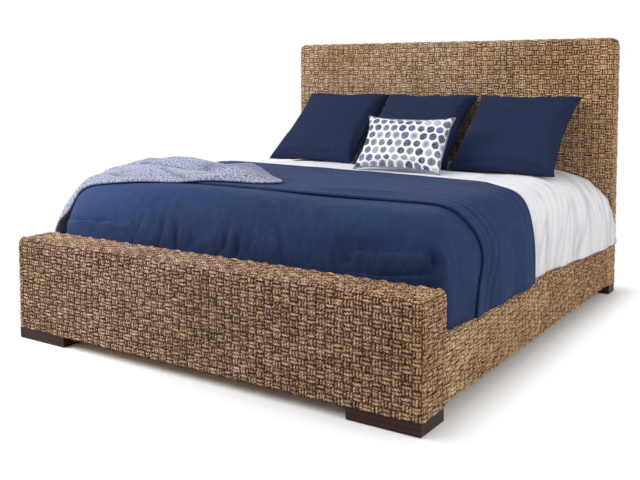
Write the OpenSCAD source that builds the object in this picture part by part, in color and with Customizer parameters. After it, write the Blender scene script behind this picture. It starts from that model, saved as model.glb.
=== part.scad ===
// King bed woven in twisted rope: headboard, footboard and hook-on side rails built over
// timber frames, a slatted base on a centre beam, split box springs and the bed's dressing.
// Millimetres. +Z up, +Y towards the headboard, origin on the floor under the bed's middle.

/* [Mattress and box springs] */
// Width of the mattress
mattress_w = 1930; // [1800:10:2000]
// Length of the mattress
mattress_l = 2030; // [1980:10:2100]
// Height of the mattress
mattress_h = 270; // [240:5:300]
// Height of the box springs
box_h = 200; // [170:5:220]
// How much the box springs stand back from the mattress's edge
box_inset = 15; // [12:1:20]
// Shoulder radius of the mattress
mattress_r = 85; // [75:5:90]
// Corner radius of the mattress and box springs seen from above
mattress_corner_r = 110; // [100:5:120]
// Gap between the mattress and each side rail
side_gap = 15; // [8:1:30]
// Gap between the mattress and the footboard
foot_gap = 40; // [36:1:60]
// Gap between the mattress and the headboard
mattress_gap = 30; // [25:1:45]

/* [Bed] */
// Clear height under the woven frame
floor_gap = 50; // [44:1:70]
// Thickness of the rope weave
weave_t = 20; // [16:1:24]
// Rounding of the woven long edges
edge_r = 26; // [22:1:30]

/* [Headboard] */
// Top of the headboard above the floor
head_h = 1430; // [1200:10:1600]
// Thickness of the headboard
head_t = 130; // [120:1:150]
// Corner radius of the headboard seen from the front
head_corner_r = 50; // [35:1:58]
// Height of the headboard's middle rail
head_mid_z = 640; // [560:10:760]

/* [Footboard] */
// Top of the footboard above the floor
foot_h = 475; // [440:5:600]
// Thickness of the footboard
foot_t = 210; // [180:1:230]
// Corner radius of the footboard seen from the front
foot_corner_r = 32; // [26:1:50]

/* [Side rails] */
// Height of the side rails
rail_h = 248; // [235:1:300]
// Thickness of the side rails
rail_t = 70; // [66:1:80]
// Width of the ledger strips that carry the slats
ledger_w = 30; // [24:1:40]
// Height of the ledger strips
ledger_h = 40; // [30:1:50]
// Top of the ledger strips above the floor
ledger_top = 146; // [142:1:160]
// Gap at each end of a ledger strip
ledger_end = 25; // [10:1:60]

/* [Timber frames] */
// Thickness of the panels behind the weave
panel_t = 9; // [6:1:12]
// Width of the corner posts
post_w = 60; // [55:1:70]
// Thickness of the bottom boards
board_t = 22; // [18:1:28]
// Height of the top and middle rails
beam_t = 45; // [30:1:60]
// Thickness of the upright studs
stud_t = 30; // [20:1:40]
// Distance between studs
stud_pitch = 500; // [400:10:560]

/* [Slatted base] */
// Number of slats
slat_count = 12; // [10:1:13]
// Width of a slat
slat_w = 90; // [60:1:110]
// Thickness of a slat
slat_t = 20; // [16:1:24]
// Gap between a slat's end and the rail
slat_gap = 2; // [1:0.5:6]
// Rounding of the slats' upper edges
slat_r = 4; // [2:0.5:6]
// Width of the centre beam
beam_w = 45; // [36:1:60]
// Height of the centre beam
beam_h = 70; // [60:1:74]
// Distance between the centre legs
leg_pitch = 650; // [500:10:800]
// Side of a centre leg
leg_w = 60; // [50:1:80]

/* [Feet] */
// Width of a foot block
block_w = 300; // [240:5:340]
// Depth of the front foot blocks
front_block_l = 180; // [150:5:190]
// Depth of the rear foot blocks
rear_block_l = 106; // [90:2:110]
// Inset of the foot blocks from the woven faces
block_inset = 8; // [5:1:14]
// Rounding of the foot blocks' upright edges
block_r = 4; // [2:0.5:8]
// Thickness of the felt pads
pad_t = 3; // [2:0.5:5]

/* [Hardware] */
// Thickness of the steel plates
steel_t = 3; // [2.5:0.5:4]
// Width of a bed rail plate
plate_w = 32; // [28:1:36]
// Height of a bed rail plate
plate_h = 150; // [140:1:160]
// Distance of the plate screws from the plate's middle
plate_screw_z = 62; // [58:1:66]
// Distance of the hooks from the plate's middle
hook_z = 30; // [28:1:32]
// Height of a hook's neck
hook_neck = 14; // [10:1:16]
// Drop of a hook behind its slot
hook_drop = 12; // [8:1:13]
// Thickness of a hook's lip
hook_lip = 5; // [4:0.5:7]
// Radius of a wood screw
screw_r = 2.5; // [2:0.1:3]
// Radius of a wood screw's head
screw_head_r = 4.6; // [4:0.1:5]
// Length of the plate screws
plate_screw_l = 42; // [38:1:60]
// Length of the ledger and slat screws
ledger_screw_l = 42; // [36:1:50]
// Radius of a leveller's stem
stem_r = 4; // [3:0.5:5]
// Length of a leveller's stem
stem_l = 36; // [30:1:40]
// Radius of a leveller's pad
leveller_r = 20; // [16:1:24]
// Thickness of a leveller's pad
leveller_t = 8; // [6:1:10]

/* [Quilt and duvet] */
// Thickness of the quilt over the middle of the mattress
quilt_t = 67; // [60:1:90]
// How far the quilt stands out past the mattress's sides
side_soft = 38; // [34:1:50]
// Overhang of the quilt past the rail's outer face at the headboard
quilt_bulge = 38; // [10:1:50]
// Thickness of the duvet
duvet_t = 18; // [14:1:24]
// Extra thickness where the duvet is folded back
fold_t = 14; // [8:1:20]
// Distance from the footboard to the duvet's upper edge, on the right
duvet_reach = 960; // [900:10:1000]
// How much further the duvet's upper edge lies up the bed on the left
edge_skew = 190; // [0:10:220]
// Distance from the footboard to the duvet's fold line
fold_reach = 275; // [210:5:400]
// Depth of the soft waves in the hanging sides
wave = 5; // [2:0.5:8]
// Distance from wave to wave
wave_pitch = 270; // [220:10:360]

/* [Throw] */
// Thickness of the throw
throw_t = 7; // [5:0.5:10]
// Height of the throw's folds
throw_fold = 26; // [10:1:32]
// Distance from the footboard to the throw's lower edge at its tip
throw_low_tip = 370; // [330:5:400]
// Distance from the footboard to the throw's lower edge at the bed's side
throw_low_side = 25; // [20:5:80]
// Distance from the footboard to the throw's upper edge at its tip
throw_high_tip = 450; // [420:5:500]
// Distance from the footboard to the throw's upper edge at the bed's side
throw_high_side = 790; // [700:5:820]

/* [Pillows] */
// Width of a large pillow
pillow_w = 590; // [540:5:600]
// Height of a large pillow
pillow_h = 630; // [600:5:650]
// Thickness of a large pillow
pillow_t = 150; // [110:5:160]
// Width of the small cushion
cushion_w = 530; // [450:5:560]
// Height of the small cushion
cushion_h = 345; // [300:5:360]
// Thickness of the small cushion
cushion_t = 110; // [80:5:120]
// How far a pillow's sides draw in between its corners
draw_in = 0.07; // [0.03:0.01:0.1]
// Lean of the large pillows from upright
pillow_lean = 51; // [46:1:56]
// Lean of the small cushion from upright
cushion_lean = 33; // [28:1:36]
// Gap between the left pillow's upper edge and the headboard
left_back = 10; // [10:1:40]
// Gap between the centre pillow's upper edge and the headboard
centre_back = 25; // [16:1:50]
// Gap between the right pillow's upper edge and the headboard
right_back = 55; // [20:1:80]

/* [Hidden] */
$fn = 48;
soft_clear = 0.3;
fit_clear = 0.1;
seat_clear = 0.3;
eps = 1;

bed_w = mattress_w + 2 * (side_gap + rail_t);
bed_l = foot_t + foot_gap + mattress_l + mattress_gap + head_t;
foot_y0 = -bed_l / 2;
foot_y1 = foot_y0 + foot_t;
head_y1 = bed_l / 2;
head_y0 = head_y1 - head_t;
rail_l = head_y0 - foot_y1;
rail_mid_y = (head_y0 + foot_y1) / 2;
rail_x1 = bed_w / 2;
rail_x0 = rail_x1 - rail_t;
core_x1 = rail_x1 - weave_t;
core_t = core_x1 - rail_x0;
rail_top = floor_gap + rail_h;
core_z0 = floor_gap + weave_t;
core_z1 = rail_top - weave_t;
frame_w = bed_w - 2 * weave_t;
cavity_z0 = floor_gap + board_t;
post_x = frame_w / 2 - post_w;

plate_x = rail_x0 + core_t / 2;
plate_z = (core_z0 + core_z1) / 2;
mount_l = weave_t + panel_t;
slot_w = steel_t + 2;
hook_lead = 2;
hook_shoulder = 4;
hook_room = 4;
beam_z0 = ledger_top - beam_h;
saddle_w = 120;
saddle_l = 40;
saddle_drop = 4;
saddle_screw_l = mount_l;
mount_w = saddle_w + 10;
saddle_screw_x = 45;
saddle_screw_z = beam_z0 + beam_h / 2;

slat_l = 2 * (rail_x0 - slat_gap);
slat_pitch = (rail_l - slat_w) / (slat_count + 0.5);
slat_y0 = rail_mid_y - slat_pitch * (slat_count - 1) / 2;
slat_screw_x = rail_x0 - ledger_w / 2;
ledger_screws = 5;
ledger_screw_z = ledger_top - ledger_h / 2;
ledger_screw_pitch = (rail_l - 2 * ledger_end) / ledger_screws;
slat_top = ledger_top + slat_t;

insert_l = 14;
insert_r = stem_r + 2;
insert_flange_r = 11;
insert_flange_t = 1.5;
leveller_rim = 2;
stem_room = 4;
tenon_r = 10;
tenon_l = 15;
stem_z0 = leveller_t;
leg_z0 = leveller_t + seat_clear;
block_screw_l = 36;
block_screw_z = 24;
block_screw_x = block_w / 3;
counterbore_r = 7;
screw_tip = 3;
block_x = bed_w / 2 - block_inset - block_w / 2;
front_block_y = foot_y0 + block_inset + front_block_l / 2;
rear_block_y = head_y1 - block_inset - rear_block_l / 2;

box_z1 = slat_top + box_h;
box_split = 1;
mattress_z1 = box_z1 + mattress_h;
mattress_y1 = head_y0 - mattress_gap;
mattress_y0 = mattress_y1 - mattress_l;
box_spring_w = mattress_w / 2 - box_inset - box_split;

soft_z0 = rail_top + soft_clear;
quilt_rise = mattress_z1 + quilt_t - soft_z0;
quilt_side = mattress_w / 2 + side_soft;
quilt_y0 = mattress_y0 - 6;
quilt_y1 = head_y0 - 5;
duvet_y0 = foot_y1 + 2;
duvet_edge_y = foot_y1 + duvet_reach;
duvet_y1 = duvet_edge_y + edge_skew;
fold_y = foot_y1 + fold_reach;
fold_lift = duvet_t + fold_t;
duvet_clear = 0.5;
lap = 10;

crown_y = 200;
crown_reach = crown_y - foot_y1 - 4;
crown_power = 2.25;
foot_power = 28;
middle_power = 20;
head_power = 7;
head_run = quilt_y1 - 40;
dome_steps = 15;
ring_steps = 16;
shoulder_crowding = 1.6;
foot_crowding = 2.2;
ring_gap = 4;
toe = 1;

throw_clear = 6;
throw_tip = 0.03;
throw_flat = 0.9;
throw_turn = 0.62;
throw_drop = 68;
throw_steps = 22;
throw_rows = 14;
ridge_turns = 620;
ridge_skew = 160;

pillow_seat = soft_z0 + quilt_rise;
left_dip = 0.6;
centre_dip = 1.4;
right_dip = 0.8;
cushion_dip = 0.8;
pillow_steps = 12;
pillow_rim = 0.04;
pillow_fullness = 0.42;
left_x = -632;
centre_x = -6;
right_x = 606;
cushion_x = 100;
side_turn = 1;
centre_turn = 3;
pillow_reach = pillow_h * sin(pillow_lean);
centre_y = head_y0 - pillow_reach - centre_back;
cushion_gap = 35;
cushion_y = centre_y - pillow_t - cushion_t / 2 - cushion_gap;

rope = "#A98A66";
timber = "#C9A677";
stain = "#33231D";
steel = "#B9BCC0";
felt = "#4A4340";
ticking = "#D8D6D2";
white_cloth = "#E9E9EE";
navy = "#27375F";
knit = "#B4BED4";
dots = "#DDE0E6";

function slat_name(i) = str("slat_", i < 9 ? "0" : "", i + 1);

// ---- helpers -----------------------------------------------------------------------

// A block between two corners
module block(low, high) {
    translate(low) cube(high - low);
}

// A rectangle from y = 0 up, centred in x, with its two upper corners rounded
module arch(w, h, r) {
    translate([-w / 2, 0]) square([w, h - r]);
    translate([r - w / 2, 0]) square([w - 2 * r, h]);
    for (s = [-1, 1]) translate([s * (w / 2 - r), h - r]) circle(r);
}

// A rectangle centred on the origin with all corners rounded
module round_rect(w, l, r) {
    square([w, l - 2 * r], center = true);
    square([w - 2 * r, l], center = true);
    for (x = [-1, 1], y = [-1, 1]) translate([x * (w / 2 - r), y * (l / 2 - r)]) circle(r);
}

// A board standing across the bed with its edges and upper corners rounded
module rounded_board(w, y0, y1, z0, z1, edge, corner) {
    depth = y1 - y0;
    mid = (y0 + y1) / 2;
    intersection() {
        translate([0, y1, z0]) rotate([90, 0, 0]) linear_extrude(depth) arch(w, z1 - z0, corner);
        translate([0, mid, z0]) linear_extrude(z1 - z0) round_rect(w, depth, edge);
        translate([-w / 2, mid, z0]) rotate([90, 0, 90]) linear_extrude(w)
            arch(depth, z1 - z0, edge);
    }
}

// A wood screw along -Z with its flat head's face at z = 0, grown by gap for its hole
module screw(l, gap = 0) {
    head_h = screw_head_r - screw_r;
    translate([0, 0, -head_h]) cylinder(h = head_h, r1 = screw_r + gap, r2 = screw_head_r + gap);
    translate([0, 0, screw_tip - l]) cylinder(h = l - screw_tip - head_h / 2, r = screw_r + gap);
    translate([0, 0, -l - gap]) cylinder(h = screw_tip + gap, r1 = 0.5 + gap, r2 = screw_r + gap);
}

// Children at the four rail ends, with +Y pointing into the board that the rail meets
module at_rail_ends() {
    for (s = [-1, 1]) {
        translate([s * plate_x, head_y0, plate_z]) children();
        translate([s * plate_x, foot_y1, plate_z]) mirror([0, 1, 0]) children();
    }
}

// Children at both ends of the centre beam, with +Y pointing into the board
module at_beam_ends() {
    translate([0, head_y0, 0]) children();
    translate([0, foot_y1, 0]) mirror([0, 1, 0]) children();
}

// ---- headboard and footboard ---------------------------------------------------------

// Windows in the weave and panel for the mounting blocks
module mount_windows(grow = 0) {
    w = core_t / 2 + grow;
    h = (core_z1 - core_z0) / 2 + grow;
    at_rail_ends() block([-w, -grow, -h], [w, mount_l, h]);
    at_beam_ends() block([-mount_w / 2 - grow, -grow, core_z0 - grow],
                         [mount_w / 2 + grow, mount_l, ledger_top + grow]);
}

module woven_board(y0, y1, z1, corner) {
    difference() {
        rounded_board(bed_w, y0, y1, floor_gap, z1, edge_r, corner);
        block([-frame_w / 2, y0 + weave_t, floor_gap - eps],
              [frame_w / 2, y1 - weave_t, z1 - weave_t]);
        mount_windows();
    }
}

module panels(y0, y1, z1) {
    difference() {
        union() {
            for (y = [y0 + weave_t, y1 - weave_t - panel_t])
                block([-frame_w / 2, y, cavity_z0], [frame_w / 2, y + panel_t, z1 - weave_t]);
        }
        mount_windows();
    }
}

module foot_block_screw_holes() {
    at_block_screws() screw(block_screw_l, fit_clear);
}

module bottom_board(y0, y1) {
    difference() {
        block([-frame_w / 2, y0 + weave_t, floor_gap], [frame_w / 2, y1 - weave_t, cavity_z0]);
        mount_windows();
        foot_block_screw_holes();
    }
}

// A rail lying between the posts or over them, between the two panels
module cross_rail(y0, y1, half_w, z0, h) {
    block([-half_w, y0 + weave_t + panel_t, z0], [half_w, y1 - weave_t - panel_t, z0 + h]);
}

module posts(y0, y1, z1) {
    difference() {
        for (s = [-1, 1]) {
            x = min(s * post_x, s * frame_w / 2);
            block([x, y0 + weave_t + panel_t, cavity_z0],
                  [x + post_w, y1 - weave_t - panel_t, z1 - weave_t - beam_t]);
        }
        plate_screw_holes();
    }
}

module studs(y0, y1, z0, z1) {
    for (x = [-stud_pitch, 0, stud_pitch])
        block([x - stud_t / 2, y0 + weave_t + panel_t, z0],
              [x + stud_t / 2, y1 - weave_t - panel_t, z1]);
}

module footboard_weave() {
    color(rope) woven_board(foot_y0, foot_y1, foot_h, foot_corner_r);
}

module footboard_panels() {
    color(timber) panels(foot_y0, foot_y1, foot_h);
}

module footboard_rails() {
    color(timber) {
        bottom_board(foot_y0, foot_y1);
        cross_rail(foot_y0, foot_y1, frame_w / 2, foot_h - weave_t - beam_t, beam_t);
    }
}

module footboard_posts() {
    color(timber) posts(foot_y0, foot_y1, foot_h);
}

module footboard_studs() {
    color(timber) studs(foot_y0, foot_y1, cavity_z0, foot_h - weave_t - beam_t);
}

module headboard_weave() {
    color(rope) woven_board(head_y0, head_y1, head_h, head_corner_r);
}

module headboard_panels() {
    color(timber) panels(head_y0, head_y1, head_h);
}

module headboard_rails() {
    color(timber) {
        bottom_board(head_y0, head_y1);
        cross_rail(head_y0, head_y1, post_x, head_mid_z, beam_t);
        cross_rail(head_y0, head_y1, frame_w / 2, head_h - weave_t - beam_t, beam_t);
    }
}

module headboard_posts() {
    color(timber) posts(head_y0, head_y1, head_h);
}

module headboard_studs() {
    color(timber) {
        studs(head_y0, head_y1, cavity_z0, head_mid_z);
        studs(head_y0, head_y1, head_mid_z + beam_t, head_h - weave_t - beam_t);
    }
}

// Hardwood blocks that fill the windows and take the rail and beam hardware
module mounting_blocks() {
    color(timber) difference() {
        mount_windows();
        at_rail_ends() plate_pocket(-eps, steel_t);
        at_rail_ends() for (s = [-1, 1]) translate([0, 0, s * hook_z]) hook_mortise();
        plate_screw_holes();
        at_saddle_screws() screw(saddle_screw_l, fit_clear);
    }
}

// ---- bed rail hardware ---------------------------------------------------------------

// Recess for a plate that stands from y0 to y1
module plate_pocket(y0, y1) {
    w = plate_w / 2 + fit_clear;
    h = plate_h / 2 + fit_clear;
    block([-w, y0, -h], [w, y1, h]);
}

// Hollow behind a slot, with room for the hook to drop into place
module hook_mortise() {
    block([-slot_w, 0, -hook_drop - hook_room],
          [slot_w, steel_t + hook_lip + hook_room, hook_neck + hook_drop + hook_room]);
}

// A hook seen from the side: a neck through the slot and a lip hanging behind it
module hook() {
    reach = steel_t + fit_clear;
    lip = reach + hook_lip;
    translate([-steel_t / 2, 0, 0]) rotate([90, 0, 90]) linear_extrude(steel_t)
        polygon([[0, 0], [reach, 0], [reach, -hook_drop], [lip - hook_lead, -hook_drop],
                 [lip, hook_lead - hook_drop], [lip, hook_neck - hook_shoulder],
                 [lip - hook_shoulder, hook_neck], [0, hook_neck]]);
}

// A steel plate standing across the rail's end
module plate_blank(y0) {
    translate([0, y0 + steel_t, 0]) rotate([90, 0, 0]) linear_extrude(steel_t)
        square([plate_w, plate_h], center = true);
}

module at_plate_screws() {
    for (s = [-1, 1]) translate([0, 0, s * plate_screw_z]) children();
}

// One screw goes into the board and one, back to back with it, into the rail's end
module plate_screw_pair(gap = 0) {
    at_plate_screws() {
        rotate([90, 0, 0]) screw(plate_screw_l, gap);
        rotate([-90, 0, 0]) screw(plate_screw_l, gap);
    }
}

module plate_screw_holes() {
    at_rail_ends() plate_screw_pair(fit_clear);
}

module slot_plates() {
    color(steel) at_rail_ends() difference() {
        plate_blank(0);
        for (s = [-1, 1]) translate([0, 0, s * hook_z])
            block([-slot_w / 2, -eps, -fit_clear],
                  [slot_w / 2, steel_t + eps, hook_neck + hook_drop + hook_lead]);
        plate_screw_pair(fit_clear);
    }
}

module hook_plates() {
    color(steel) at_rail_ends() difference() {
        union() {
            plate_blank(-steel_t);
            for (s = [-1, 1]) translate([0, 0, s * hook_z]) hook();
        }
        plate_screw_pair(fit_clear);
    }
}

module plate_screws() {
    color(steel) at_rail_ends() plate_screw_pair();
}

// ---- side rails ----------------------------------------------------------------------

// The timber core of a side rail, bare on its inner face
module side_rail(s) {
    x = s < 0 ? -core_x1 : rail_x0;
    color(timber) difference() {
        block([x, foot_y1, core_z0], [x + core_t, head_y0, core_z1]);
        at_rail_ends() plate_pocket(-steel_t, eps);
        plate_screw_holes();
        at_ledger_screws(s) screw(ledger_screw_l, fit_clear);
    }
}

// The rope wraps the rail's outer face and turns over its top and bottom edges
module side_weave(s) {
    color(rope) mirror([s < 0 ? 1 : 0, 0, 0])
        translate([0, head_y0, 0]) rotate([90, 0, 0]) linear_extrude(rail_l) difference() {
            union() {
                translate([rail_x0, floor_gap]) square([rail_t - edge_r, rail_h]);
                translate([rail_x0, floor_gap + edge_r]) square([rail_t, rail_h - 2 * edge_r]);
                for (z = [floor_gap + edge_r, rail_top - edge_r])
                    translate([rail_x1 - edge_r, z]) circle(edge_r);
            }
            translate([rail_x0 - eps, core_z0]) square([core_t + eps, core_z1 - core_z0]);
        }
}

module side_rail_left() {
    side_rail(-1);
}

module side_rail_right() {
    side_rail(1);
}

module side_weave_left() {
    side_weave(-1);
}

module side_weave_right() {
    side_weave(1);
}

// Screws driven outwards through a ledger strip into the rail
module at_ledger_screws(s) {
    for (i = [0 : ledger_screws - 1])
        translate([s * (rail_x0 - ledger_w), rail_mid_y + (i - (ledger_screws - 1) / 2) *
                   ledger_screw_pitch, ledger_screw_z]) rotate([0, -s * 90, 0]) children();
}

module ledger(s) {
    x = s < 0 ? -rail_x0 : rail_x0 - ledger_w;
    color(timber) difference() {
        block([x, foot_y1 + ledger_end, ledger_top - ledger_h],
              [x + ledger_w, head_y0 - ledger_end, ledger_top]);
        at_ledger_screws(s) screw(ledger_screw_l, fit_clear);
        at_slat_screws() screw(ledger_screw_l, fit_clear);
    }
}

module ledger_left() {
    ledger(-1);
}

module ledger_right() {
    ledger(1);
}

module ledger_screws() {
    color(steel) for (s = [-1, 1]) at_ledger_screws(s) screw(ledger_screw_l);
}

// ---- slatted base --------------------------------------------------------------------

module at_slat_screws() {
    for (i = [0 : slat_count - 1], s = [-1, 1])
        translate([s * slat_screw_x, slat_y0 + i * slat_pitch, slat_top]) children();
}

module slat(i) {
    y = slat_y0 + i * slat_pitch;
    color(timber) difference() {
        translate([-slat_l / 2, y, ledger_top]) rotate([90, 0, 90]) linear_extrude(slat_l)
            arch(slat_w, slat_t, slat_r);
        for (s = [-1, 1]) translate([s * slat_screw_x, y, slat_top])
            screw(ledger_screw_l, fit_clear);
    }
}

module slat_screws() {
    color(steel) at_slat_screws() screw(ledger_screw_l);
}

module at_legs() {
    for (i = [-1, 0, 1]) translate([0, rail_mid_y + i * leg_pitch, 0]) children();
}

module centre_beam() {
    color(timber) difference() {
        block([-beam_w / 2, foot_y1 + steel_t, beam_z0],
              [beam_w / 2, head_y0 - steel_t, ledger_top]);
        at_legs() translate([0, 0, beam_z0 - eps])
            cylinder(h = tenon_l + eps + fit_clear, r = tenon_r + fit_clear);
    }
}

module at_saddle_screws() {
    at_beam_ends() for (s = [-1, 1])
        translate([s * saddle_screw_x, -steel_t, saddle_screw_z]) rotate([90, 0, 0]) children();
}

// A folded steel saddle: a plate on the board, a shelf under the beam and two cheeks
module beam_saddles() {
    inner = beam_w / 2 + seat_clear;
    saddle_top = ledger_top - saddle_drop;
    color(steel) difference() {
        at_beam_ends() {
            block([-saddle_w / 2, -steel_t, beam_z0 - steel_t], [saddle_w / 2, 0, saddle_top]);
            block([-inner - steel_t, -saddle_l, beam_z0 - steel_t],
                  [inner + steel_t, -steel_t, beam_z0]);
            for (x = [-inner - steel_t, inner])
                block([x, -saddle_l, beam_z0], [x + steel_t, -steel_t, saddle_top]);
        }
        at_saddle_screws() screw(saddle_screw_l, fit_clear);
    }
}

module saddle_screws() {
    color(steel) at_saddle_screws() screw(saddle_screw_l);
}

// Legs under the centre beam, tenoned into it, each with a threaded insert in its foot
module centre_legs() {
    color(timber) at_legs() difference() {
        union() {
            translate([0, 0, leg_z0]) linear_extrude(beam_z0 - leg_z0)
                round_rect(leg_w, leg_w, block_r);
            translate([0, 0, beam_z0]) cylinder(h = tenon_l, r = tenon_r);
        }
        translate([0, 0, leg_z0 - eps])
            cylinder(h = eps + insert_flange_t, r = insert_flange_r + fit_clear);
        translate([0, 0, leg_z0 - eps]) cylinder(h = eps + insert_l, r = insert_r + fit_clear);
        translate([0, 0, leg_z0 - eps])
            cylinder(h = eps + stem_l + stem_room, r = stem_r + fit_clear);
    }
}

module leg_inserts() {
    color(steel) at_legs() translate([0, 0, leg_z0]) difference() {
        union() {
            cylinder(h = insert_flange_t, r = insert_flange_r);
            cylinder(h = insert_l, r = insert_r);
        }
        translate([0, 0, -eps]) cylinder(h = insert_l + 2 * eps, r = stem_r + fit_clear);
    }
}

// A screw-in levelling foot: a round pad with a softened rim on a stem
module leveller(i) {
    color(steel) translate([0, rail_mid_y + i * leg_pitch, 0]) {
        rotate_extrude() polygon([[0, 0], [leveller_r - leveller_rim, 0],
                                  [leveller_r, leveller_rim],
                                  [leveller_r, leveller_t - leveller_rim],
                                  [leveller_r - leveller_rim, leveller_t], [0, leveller_t]]);
        translate([0, 0, stem_z0]) cylinder(h = stem_l, r = stem_r);
    }
}

module leveller_foot() {
    leveller(-1);
}

module leveller_middle() {
    leveller(0);
}

module leveller_head() {
    leveller(1);
}

// ---- feet ----------------------------------------------------------------------------

module at_blocks() {
    for (s = [-1, 1], y = [front_block_y, rear_block_y]) translate([s * block_x, y, 0]) children();
}

// Screws driven up through the foot blocks, their heads in counterbores
module at_block_screws() {
    at_blocks() for (s = [-1, 1])
        translate([s * block_screw_x, 0, block_screw_z]) mirror([0, 0, 1]) children();
}

module foot_block(s, y, l) {
    color(stain) difference() {
        translate([s * block_x, y, pad_t]) linear_extrude(floor_gap - pad_t)
            round_rect(block_w, l, block_r);
        foot_block_screw_holes();
        at_block_screws() cylinder(h = block_screw_z, r = counterbore_r);
    }
}

module foot_block_front_left() {
    foot_block(-1, front_block_y, front_block_l);
}

module foot_block_front_right() {
    foot_block(1, front_block_y, front_block_l);
}

module foot_block_rear_left() {
    foot_block(-1, rear_block_y, rear_block_l);
}

module foot_block_rear_right() {
    foot_block(1, rear_block_y, rear_block_l);
}

module foot_pads() {
    color(felt) for (s = [-1, 1]) {
        translate([s * block_x, front_block_y, 0]) linear_extrude(pad_t)
            round_rect(block_w - 2 * block_inset, front_block_l - 2 * block_inset, block_r);
        translate([s * block_x, rear_block_y, 0]) linear_extrude(pad_t)
            round_rect(block_w - 2 * block_inset, rear_block_l - 2 * block_inset, block_r);
    }
}

module foot_block_screws() {
    color(steel) at_block_screws() screw(block_screw_l);
}

// ---- box springs and mattress --------------------------------------------------------

// A padded box with rounded corners and shoulders, grown by gap for what covers it
module padded_box(y1, z0, gap = 0) {
    l = y1 - mattress_y0 + 2 * gap;
    h = mattress_z1 - z0 + gap;
    w = mattress_w + 2 * gap;
    translate([0, (mattress_y0 + y1) / 2, z0]) intersection() {
        linear_extrude(h) round_rect(w, l, mattress_corner_r);
        translate([0, l / 2, 0]) rotate([90, 0, 0]) linear_extrude(l) arch(w, h, mattress_r);
        translate([-w / 2, 0, 0]) rotate([90, 0, 90]) linear_extrude(w) arch(l, h, mattress_r);
    }
}

module box_spring(s) {
    color(ticking) translate([s * (box_spring_w / 2 + box_split),
                              (mattress_y0 + mattress_y1) / 2, slat_top])
        linear_extrude(box_h)
            round_rect(box_spring_w, mattress_l - 2 * box_inset, mattress_corner_r);
}

module box_spring_left() {
    box_spring(-1);
}

module box_spring_right() {
    box_spring(1);
}

module mattress() {
    color(ticking) padded_box(mattress_y1, box_z1);
}

// ---- quilt, duvet and throw ----------------------------------------------------------

// The dressed bed is one soft dome. Across the bed it is a flattened ellipse that is squarer
// in the middle of the bed than at the headboard; towards the foot it falls to the footboard.
function ease(t) = let (c = max(0, min(1, t))) c * c * (3 - 2 * c);
function headward(y) = ease(y / head_run);
function side_power(y) = middle_power + (head_power - middle_power) * headward(y);
function half_width(y) = quilt_side + (rail_x1 + quilt_bulge - quilt_side) * headward(y);
function fall(y, g) = 1 - pow(max(0, (crown_y - y) / (crown_reach + g / 3)), foot_power);

// A point of the dome at length y and angle t from the crown, grown outwards by g
function dome(y, t, g) =
    let (side = sin(abs(t)), up = cos(t), f = fall(y, g),
         grow = g + wave * pow(side, 8) * sin(360 * y / wave_pitch))
    [sign(t) * (half_width(y) + grow) * pow(f, 1 / side_power(y)) * pow(side, 2 / side_power(y)),
     y,
     soft_z0 + (quilt_rise + g) * pow(f, 1 / crown_power) * pow(up, 2 / crown_power)];

// Angles round the dome, closer together at its shoulders
dome_angles = [for (i = [-dome_steps : dome_steps])
    let (u = i / dome_steps) 90 * sign(u) * (1 - pow(1 - abs(u), shoulder_crowding))];

// A closed solid through rings that all have the same number of points
module loft(rings) {
    n = len(rings[0]);
    m = len(rings);
    points = [for (ring = rings, p = ring) p];
    sides = [for (j = [0 : m - 2], i = [0 : n - 1])
        let (a = j * n + i, b = j * n + (i + 1) % n)
        each [[a, a + n, b], [b, a + n, b + n]]];
    ends = [[for (i = [0 : n - 1]) i], [for (i = [0 : n - 1]) m * n - 1 - i]];
    polyhedron(points = points, faces = concat(sides, ends));
}

// A closed solid between two layers, each a list of rows of points, the outer one first
module shell(outer, inner) {
    m = len(outer);
    n = len(outer[0]);
    points = [for (layer = [outer, inner], row = layer, p = row) p];
    faces = [for (j = [0 : m - 2], i = [0 : n - 2])
        let (a = j * n + i) each [[a, a + n, a + 1], [a + 1, a + n, a + n + 1]]];
    backs = [for (f = faces) [f[0] + m * n, f[2] + m * n, f[1] + m * n]];
    rim = concat([for (i = [0 : n - 2]) i], [for (j = [0 : m - 2]) j * n + n - 1],
                 [for (i = [0 : n - 2]) m * n - 1 - i], [for (j = [0 : m - 2]) (m - 1 - j) * n]);
    walls = [for (i = [0 : len(rim) - 1])
        let (a = rim[i], b = rim[(i + 1) % len(rim)])
        each [[a, b, a + m * n], [b, b + m * n, a + m * n]]];
    polyhedron(points = points, faces = concat(faces, backs, walls));
}

// The quilt's rings stand closer together towards the foot, and the duvet's share their places
quilt_ys = [for (j = [0 : ring_steps])
    quilt_y0 + (quilt_y1 - quilt_y0) * pow(j / ring_steps, foot_crowding)];
function ring_ys(y0, y1) =
    concat([y0], [for (y = quilt_ys) if (y > y0 + ring_gap && y < y1 - ring_gap) y], [y1]);

// The dome as a solid through rings at ys, lengthened at the foot by reach
module dome_solid(ys, g, reach = 0) {
    rings = [for (y = ys) [for (t = dome_angles) dome(y, t, g)]];
    foot = [for (p = rings[0]) p - [0, reach, 0]];
    loft(reach > 0 ? concat([foot], rings) : rings);
}

// The space that the mattress and box springs take up under the quilt
module mattress_space(gap) {
    padded_box(mattress_y1 + 2 * mattress_gap, soft_z0 - eps, gap);
}

module quilt() {
    color(white_cloth) difference() {
        dome_solid(quilt_ys, 0);
        mattress_space(soft_clear);
    }
}

// The duvet's upper edge runs a little askew, further up the bed on the left
function duvet_edge(x) = duvet_edge_y + edge_skew * (1 - (x + quilt_side) / (2 * quilt_side));

// The duvet's outer form, folded back over itself above its fold line, grown by gap
module duvet_form(gap = 0) {
    dome_solid(ring_ys(duvet_y0, fold_y + lap), duvet_t + gap);
    dome_solid(ring_ys(fold_y, duvet_y1), fold_lift + gap, gap);
}

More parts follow.
